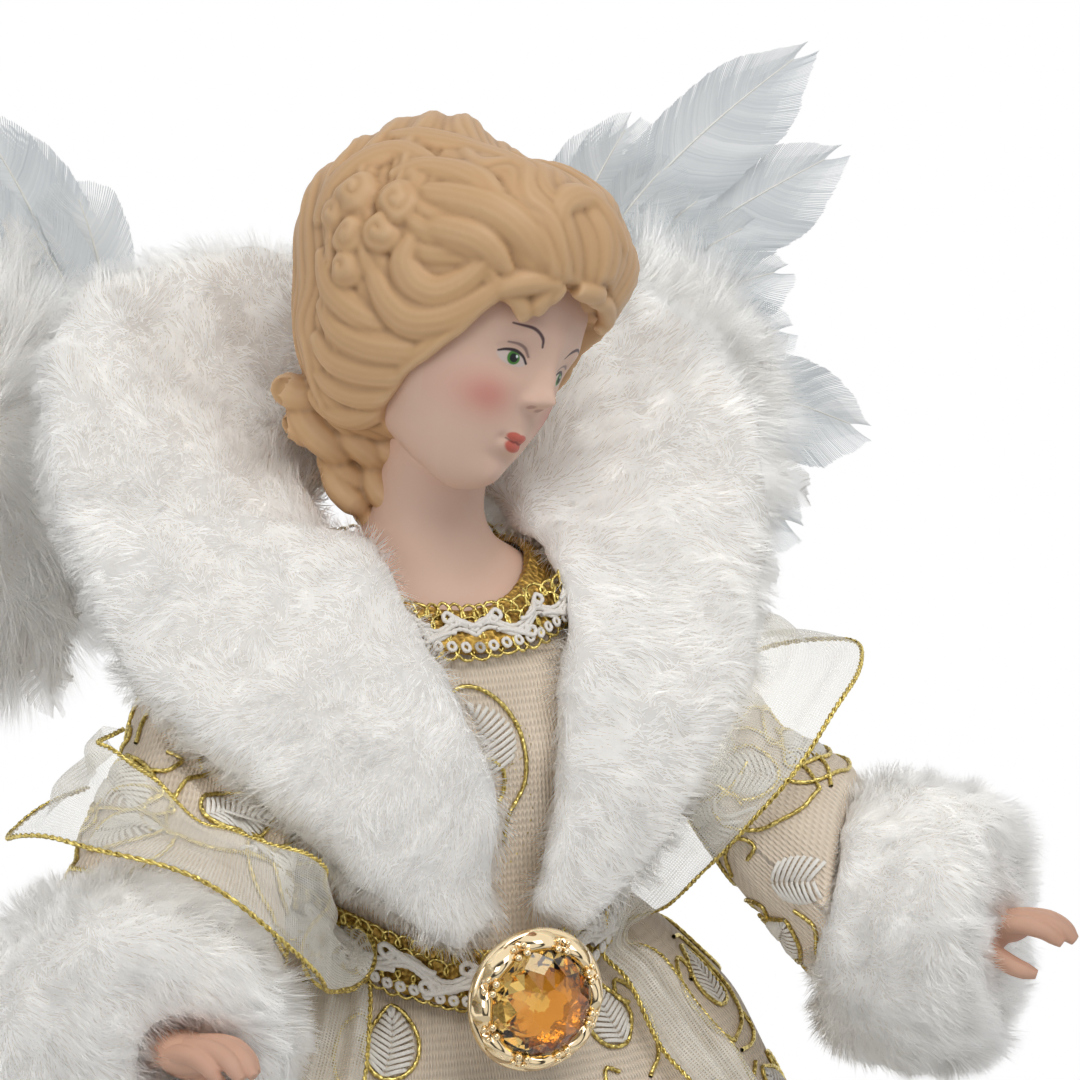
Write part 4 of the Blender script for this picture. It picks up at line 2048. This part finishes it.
def sash_frame(side):
    """The sash's middle line, the way it faces along it, and its width."""
    line = []
    facing = []
    wide = []
    for way, turn_share, lift, width in SASH_OVER[side]:
        spot, away = over_sleeve(way, 2 * math.pi * turn_share, lift, side)
        line.append(spot)
        facing.append(away)
        wide.append(width)
    for height, turn_share, width in SASH_DOWN:
        angle = -2 * math.pi * turn_share if side > 0 else 2 * math.pi * turn_share - math.pi
        out = np.array([math.cos(angle), math.sin(angle), 0])
        spot = None
        while spot is None:
            start = Vector(out * RAY_START + [0, 0, height])
            spot, normal, _, _ = skirt_tree.ray_cast(start, Vector(-out), RAY_START - 1)
            height -= 1
        normal = np.array(normal) * (1 if np.array(normal) @ out > 0 else -1)
        line.append(np.array(spot) + normal * SASH_LIFT)
        facing.append(normal)
        wide.append(width)
    line = smooth_line(line, SASH_ROWS)
    travel = np.linspace(0, len(wide) - 1, SASH_ROWS)
    for _ in range(SASH_EASING):
        line[1:-1] = (line[:-2] + 2 * line[1:-1] + line[2:]) / 4
    facing = np.array(facing)
    face = np.stack([np.interp(travel, range(len(wide)), facing[:, k]) for k in range(3)], axis=-1)
    width = smooth_line(np.array(wide)[:, None], SASH_ROWS)[:, 0]
    return line, unit(face), width


# %% The folded cloth of each sash, and two gold threads twisted at each edge
THREAD_STEPS = 1300
THREAD_RADIUS = 0.23
TWIST_RADIUS = 0.2
TWIST_LENGTH = 2.16

for hand, side in sides.items():
    line, face, width = sash_frame(side)
    along = unit(np.gradient(line, axis=0))
    across = unit(np.cross(along, face))
    face = np.cross(across, along)
    travel = np.concatenate([[0], np.cumsum(np.linalg.norm(np.diff(line, axis=0), axis=1))])
    share = np.linspace(-1, 1, SASH_COLUMNS)

    def on_sash(share):
        """Points over the whole length of the sash for shares of its half width."""
        share = np.asarray(share, float)[None, :]
        sway = 0.5 * np.sin(travel / 13)[:, None]
        gathered = np.clip(1.6 - width / 15, 0, 1)[:, None]
        fold = 1.1 * np.sin(share * 6.5 + 2 * sway) + 1.3 * gathered * np.sin(share * 9 + 1)
        ruffle = 0.5 * np.sin(travel / 3.1 + side)[:, None] * np.abs(share) ** 3
        rise = fold * (0.6 + 0.4 * np.cos(travel / 21)[:, None]) + ruffle + 0.9
        spread = across[:, None] * (share * width[:, None] / 2)[..., None]
        return line[:, None] + spread + face[:, None] * rise[..., None]

    faces = grid_faces(SASH_ROWS, SASH_COLUMNS, closed=False)
    cloth = add_mesh(f"organza_sash_{hand}", on_sash(share), faces)
    cloth_coordinates(cloth, (share[None] * width[:, None] / 2).ravel(), np.repeat(travel, SASH_COLUMNS))
    finish_piece(cloth, None, organza, [f"sash_{hand}"])
    edging = []
    for edge in (-1, 1):
        rim = on_sash([edge])[:, 0]
        outward = unit(rim - on_sash([edge * 0.95])[:, 0])
        for twist in (0, math.pi):
            spin = (travel * 2 * math.pi / TWIST_LENGTH + twist)[:, None]
            rope = rim + TWIST_RADIUS * (np.cos(spin) * face + np.sin(spin) * outward)
            edging.append((smooth_line(rope, THREAD_STEPS), THREAD_RADIUS))
    rims = many_tubes(f"sash_gold_rims_{hand}", edging, 6)
    finish_piece(rims, None, gold_cord, [f"sash_{hand}"])
    for piece in (cloth, rims):
        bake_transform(piece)
    print("sash", hand, "length", round(travel[-1]), "mm")

# %% [markdown]
# ## Wings of real feather shapes
#
# Each wing is a card with goose feathers glued on in layers: six long primaries that show as tips, two
# rows of coverts, and marabou down where they meet. A feather is a quill with barbs on both sides. The
# barbs lie edge to edge, lean to the tip, and part here and there, which gives the notches at the edge.

# %% One feather
BARB_STOPS = np.array([0, 0.33, 0.68, 1.0])
BARB_TAPER = np.array([1.0, 1.0, 1.05, 0.85])
BARB_CORNERS = 2 * len(BARB_STOPS)
STRIP = np.array([[0, 1, 3, 2], [2, 3, 5, 4], [4, 5, 7, 6]])


def feather_parts(quill, facing, leading, trailing, pitch, lean, parted, curl, seed):
    """Points, faces and tones of the barbs on both sides of a quill line. The half widths are given
    at even stops along the quill."""
    quill = np.asarray(quill, float)
    length = np.linalg.norm(np.diff(quill, axis=0), axis=1).sum()
    count = max(int(length / pitch), 8)
    way = (np.arange(count) + 0.5) / count
    slot = way * (len(quill) - 1)
    root = np.stack([np.interp(slot, np.arange(len(quill)), quill[:, k]) for k in range(3)], axis=-1)
    along = unit(np.gradient(root, axis=0))
    facing = unit(np.asarray(facing, float) - along * (along @ np.asarray(facing, float))[:, None])
    across = np.cross(along, facing)
    blocks = []
    for hand, shares in ((1, leading), (-1, trailing)):
        half = np.interp(way, np.linspace(0, 1, len(shares)), shares)
        # barbs wander together in groups, and part from their neighbours more finely
        group, split = (
            noise(np.stack(np.broadcast_arrays(way * length / size, row * hand, seed), -1), 1.0, own)
            for size, row, own in ((5.5, 3.1, 7), (1.6, 9.7, 9))
        )
        end = smoothstep(way, 0.72, 1.0)
        tilt = (lean + 0.12 * parted * group + 0.15 * end)[:, None]
        spread = 1 - 0.68 * end
        reach = half * (1 + 0.015 * parted * split + 0.008 * parted * rng.normal(size=count))
        stops = []
        for stop in BARB_STOPS:
            out = across * (hand * reach * spread * (stop - 0.12 * stop ** 2))[:, None]
            forward = along * (reach * (0.55 * stop + 0.35 * stop ** 2))[:, None] * tilt
            droop = facing * (reach * (-0.10 * stop ** 2 + curl * stop ** 2 * (1 + group)))[:, None]
            ruffle = facing * (0.25 * parted * stop * split)[:, None]
            stops.append(root + out + forward - droop + ruffle)
        line = np.stack(stops, axis=1)
        wide = (along * 0.62 * pitch / (1 + 0.12 * max(parted - 1, 0)))[:, None] * BARB_TAPER[None, :, None]
        blocks.append(np.stack([line - wide, line + wide], axis=2))
    points = np.concatenate(blocks).reshape(-1, 3)
    faces = (STRIP[None] + BARB_CORNERS * np.arange(2 * count)[:, None, None]).reshape(-1, 4)
    own = 0.62 + 0.28 * noise(np.concatenate([root, root + 40]), 3.0, seed) + 0.1 * rng.normal(size=2 * count)
    tone = (own[:, None] + np.repeat([0.12, 0.0, -0.05, -0.3], 2)[None]).ravel()
    return points, faces, np.clip(tone, 0, 1)


# %% What light does in thin barbs
def vane_look(name, dark, light, through):
    look = new_material(name, 0.6, Specular_IOR_Level=0.25, Sheen_Weight=0.2)
    colour = two_tones(look, painted(look, "tone"), dark, light)
    lit_through(look, colour, add_node(look, "ShaderNodeMixShader", Fac=through))
    bump(look, noise_texture(look, 2.0, 3), 0.15, 0.1)
    return look


feather_look = vane_look("white_feather", (214, 219, 222), (248, 250, 250), 0.22)
down_look = vane_look("white_down", (232, 229, 224), (254, 253, 251), 0.35)
quill_look = mottled("quill", 0.35, (232, 230, 222), (248, 246, 240), (0.8, 2), Specular_IOR_Level=0.5)
print("looks", feather_look.name, down_look.name, quill_look.name)

# %% The wing's own measures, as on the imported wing
WING_ROOT = np.array([15, 39, 306])
WING_REACH = 99
WING_RISE = 93
WING_FACE = 8
LAYER_PITCH = 1.2
FEATHER_WIDTH = 20
LEADING_SHARES = [0.03, 0.12, 0.32, 0.42, 0.45, 0.46, 0.46, 0.44, 0.38, 0.2]
TRAILING_SHARES = [0.03, 0.14, 0.4, 0.56, 0.62, 0.64, 0.64, 0.6, 0.5, 0.26]
PRIMARIES = [
    # root across and up, tip across and up, width, layer
    (0.2, 0.31, 0.45, 0.84, 0.85, 0),
    (0.23, 0.34, 0.88, 1.0, 1.0, 1),
    (0.25, 0.28, 0.96, 0.785, 1.0, 2),
    (0.3, 0.34, 1.0, 0.19, 1.0, 0),
    (0.3, 0.26, 0.85, -0.01, 0.95, 1),
    (0.25, 0.17, 0.66, -0.17, 0.9, 2),
]
FEATHER_BOW = 0.06
TO_CHEST = (0, -1, 0)
BARB_PITCH = 0.36
QUILL_STEPS = 24
QUILL_RADIUS = 0.4
SHAFT_STEPS = 30


def in_wing(side, across, up, layer):
    return WING_ROOT * np.array([side, 1, 1]) + np.array([
        side * across * WING_REACH,
        WING_FACE + layer * LAYER_PITCH,
        up * WING_RISE,
    ])


def bowed(start, end, side, back):
    """A line from start to end that bows up and, by back, away from the chest."""
    way = np.linspace(0, 1, QUILL_STEPS)[:, None]
    run = end - start
    up = np.array([-run[2] * side, 0, run[0] * side])
    return start + run * way + up * FEATHER_BOW * np.sin(math.pi * way) + np.array([0, back, 0]) * way ** 2


def wing_feather(name, hand, root, tip, width, layer, node, back, parted, seed):
    side = sides[hand]
    quill = bowed(in_wing(side, *root, layer), in_wing(side, *tip, layer), side, back)
    upper, lower = np.array(LEADING_SHARES) * width, np.array(TRAILING_SHARES) * width
    if side < 0:
        upper, lower = lower, upper
    # barbs reach on past their roots, so the quill stops short of the feather's tip
    short = quill[: int(len(quill) * 0.93)]
    points, faces, tone = feather_parts(
        short, TO_CHEST, lower, upper, BARB_PITCH, lean=1.0, parted=parted, curl=0.0, seed=seed,
    )
    vane = add_mesh(name, points, faces)
    paint(vane, "tone", tone)
    finish_piece(vane, f"wing_{hand}", feather_look, [node])
    taper = np.linspace(QUILL_RADIUS, QUILL_RADIUS / 4, SHAFT_STEPS)
    shaft = tube(f"{name}_quill", smooth_line(short, SHAFT_STEPS), taper, 8)
    finish_piece(shaft, f"wing_{hand}", quill_look, [node])


for hand in sides:
    for k, (ax, az, tx, tz, wide, layer) in enumerate(PRIMARIES):
        wing_feather(
            f"goose_primary_{hand}_{k + 1}", hand, (ax, az), (tx, tz), FEATHER_WIDTH * wide, layer,
            f"primary_feather_{hand}_{k + 1}", back=0.0, parted=1.0, seed=k + 1,
        )
print("primaries", 2 * len(PRIMARIES))

# %% Coverts: short feathers in two fans over the primaries' roots
COVERT_FANS = [
    # node, fan's middle across and up, length, bearings in turns, layer, feathers
    ("lower_coverts", 0.24, 0.3, 0.56, 0.2, -0.14, -1, 11),
    ("upper_coverts", 0.22, 0.28, 0.42, 0.24, -0.19, -2, 11),
]
COVERT_WIDTH = 15
for hand in sides:
    for node, across, up, length, first, last, layer, count in COVERT_FANS:
        for k in range(count):
            bearing = 2 * math.pi * (first + (last - first) * (k + 0.5) / count)
            reach = length * (1 + 0.07 * math.sin(5.1 * k)) * WING_REACH
            root, tip = (
                (
                    across + part * reach * math.cos(bearing) / WING_REACH,
                    up + part * reach * math.sin(bearing) / WING_RISE,
                )
                for part in (0.25, 1)
            )
            wing_feather(
                f"goose_covert_{node}_{hand}_{k + 1}", hand, root, tip, COVERT_WIDTH, layer - 0.3 * (k % 2),
                f"{node}_{hand}", back=-1.0, parted=1.1, seed=20 + k,
            )
print("coverts", 2 * sum(fan[-1] for fan in COVERT_FANS))

# %% Down: marabou plumes, soft barbs on thin quills that curl every way
PLUMES = 60
PLUME_STEPS = 14
PLUME_PITCH = 0.17
PLUME_SHARES = np.array([0.3, 0.8, 1.0, 1.0, 0.9, 0.7, 0.5])
DOWN_HAIRS = 30000
DOWN_LENGTH = 8.5
for hand, side in sides.items():
    low, high = corners_of(f"wing_down_{hand}")
    middle, half = (low + high) / 2, (high - low) / 2
    backing = packed_skin(f"down_backing_{hand}", f"wing_down_{hand}", voxel=1.0, smoothing=6)
    finish_piece(backing, f"wing_{hand}", fur_skin_look, [f"wing_down_{hand}"])
    down_source = middle + np.array([0, 3, 8])
    fluff = plush(
        backing, f"down_fluff_{hand}", DOWN_HAIRS,
        length=DOWN_LENGTH, width=0.08, lay=lambda points: points - down_source, stand=0.5, seed=9,
    )
    finish_piece(fluff, f"wing_{hand}", fur_hair_look, [f"wing_down_{hand}"])
    plumes = []
    for k in range(PLUMES):
        angle = 2 * math.pi * k * 0.618
        reach = math.sqrt((k + 0.5) / PLUMES)
        root = middle + half * np.array([0.75 * reach * math.cos(angle), 0, 0.8 * reach * math.sin(angle)])
        root[1] = low[1] + half[1] * 0.9
        out = np.array([math.cos(angle), 0, math.sin(angle)]) * (0.5 + 0.5 * reach)
        out = out + np.array([0.5 * side, 0, -0.4])
        out = unit(out + rng.normal(size=3) * np.array([0.5, 0, 0.5]))
        length = 12 + 7 * rng.random()
        way = np.linspace(0, 1, PLUME_STEPS)[:, None]
        sway = noise3(np.array([k * 7.3, 0, 0]) + way * 1.5, 1.0, 77) * 2.2 * way
        line = root + out * length * way + np.array([0, -2.2, 0]) * np.sin(2.2 * way)
        line = line + sway * np.array([1, 0.3, 1])
        wide = PLUME_SHARES * (3.4 + 2.0 * rng.random())
        plumes.append(feather_parts(
            line, TO_CHEST, wide, wide, PLUME_PITCH, lean=0.8, parted=5.0, curl=0.25, seed=100 + k,
        ))
    starts = np.cumsum([0] + [len(own) for own, _, _ in plumes])
    faces = [own + start for (_, own, _), start in zip(plumes, starts)]
    points = np.concatenate([own for own, _, _ in plumes])
    down = add_mesh(f"marabou_down_{hand}", points, np.concatenate(faces))
    paint(down, "tone", np.concatenate([tone for _, _, tone in plumes]))
    print("barbs of down", hand, len(down.data.vertices) // BARB_CORNERS)
    finish_piece(down, f"wing_{hand}", down_look, [f"wing_down_{hand}"])

# %% [markdown]
# ## What carries the wings and the dress
#
# Behind and below there is plain stuff: a felt patch sewn to the back, soft iron wire, a card cone and
# white wing cards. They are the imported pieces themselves, with a surface for each stuff, but for the
# felt, whose edge is soft.

# %% Felt patch on the back
felt = mottled(
    "white_felt", 0.95, (218, 212, 202), (246, 243, 237), (1.4, 8), (1.4, 8, 0.8, 0.5),
    Specular_IOR_Level=0.1, Sheen_Weight=0.4, Sheen_Roughness=0.7,
)
patch = packed_skin("felt_patch", "wing_patch", voxel=0.7, smoothing=6)
lumpy(patch, height=0.18, size=2.2, seed=61)
finish_piece(patch, "torso", felt, ["wing_patch"])
print("felt faces", len(patch.data.polygons))


# %% Card, foam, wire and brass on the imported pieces
def clothe(look, *nodes):
    for node in nodes:
        for material_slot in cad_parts[node].material_slots:
            material_slot.material = look
    print(look.name, "on", *nodes)


card = mottled(
    "grey_card", 0.85, (178, 164, 140), (206, 192, 166), (0.9, 8), (0.9, 8, 0.4, 0.2),
    Specular_IOR_Level=0.2,
)
clothe(card, "base_cone")

white_card = mottled(
    "white_board", 0.7, (226, 224, 218), (242, 240, 236), (0.8, 7), (1.5, 5, 0.2, 0.1),
    Specular_IOR_Level=0.3,
)
clothe(white_card, *[f"wing_card_{hand}" for hand in sides])

foam = new_material("foam_form", 0.9, Specular_IOR_Level=0.15)
glitter(foam, 0.35, (246, 245, 242), (214, 212, 206), 0.5, 0.4)
clothe(foam, "torso_form")

iron = mottled(
    "annealed_wire", 0.38, (112, 110, 108), (172, 171, 168), (0.9, 5), (2.5, 4, 0.25, 0.1),
    Metallic=1.0,
)
clothe(iron, "shoulder_wire", "wing_stem_wire", *[
    f"{kind}_wire_{hand}" for kind in ("arm", "wing") for hand in sides
])

brass = mottled(
    "brass_shank", 0.25, (196, 158, 88), (232, 200, 132), (1.2, 4), (3, 4, 0.2, 0.08),
    Metallic=1.0,
)
clothe(brass, "brooch_shank")
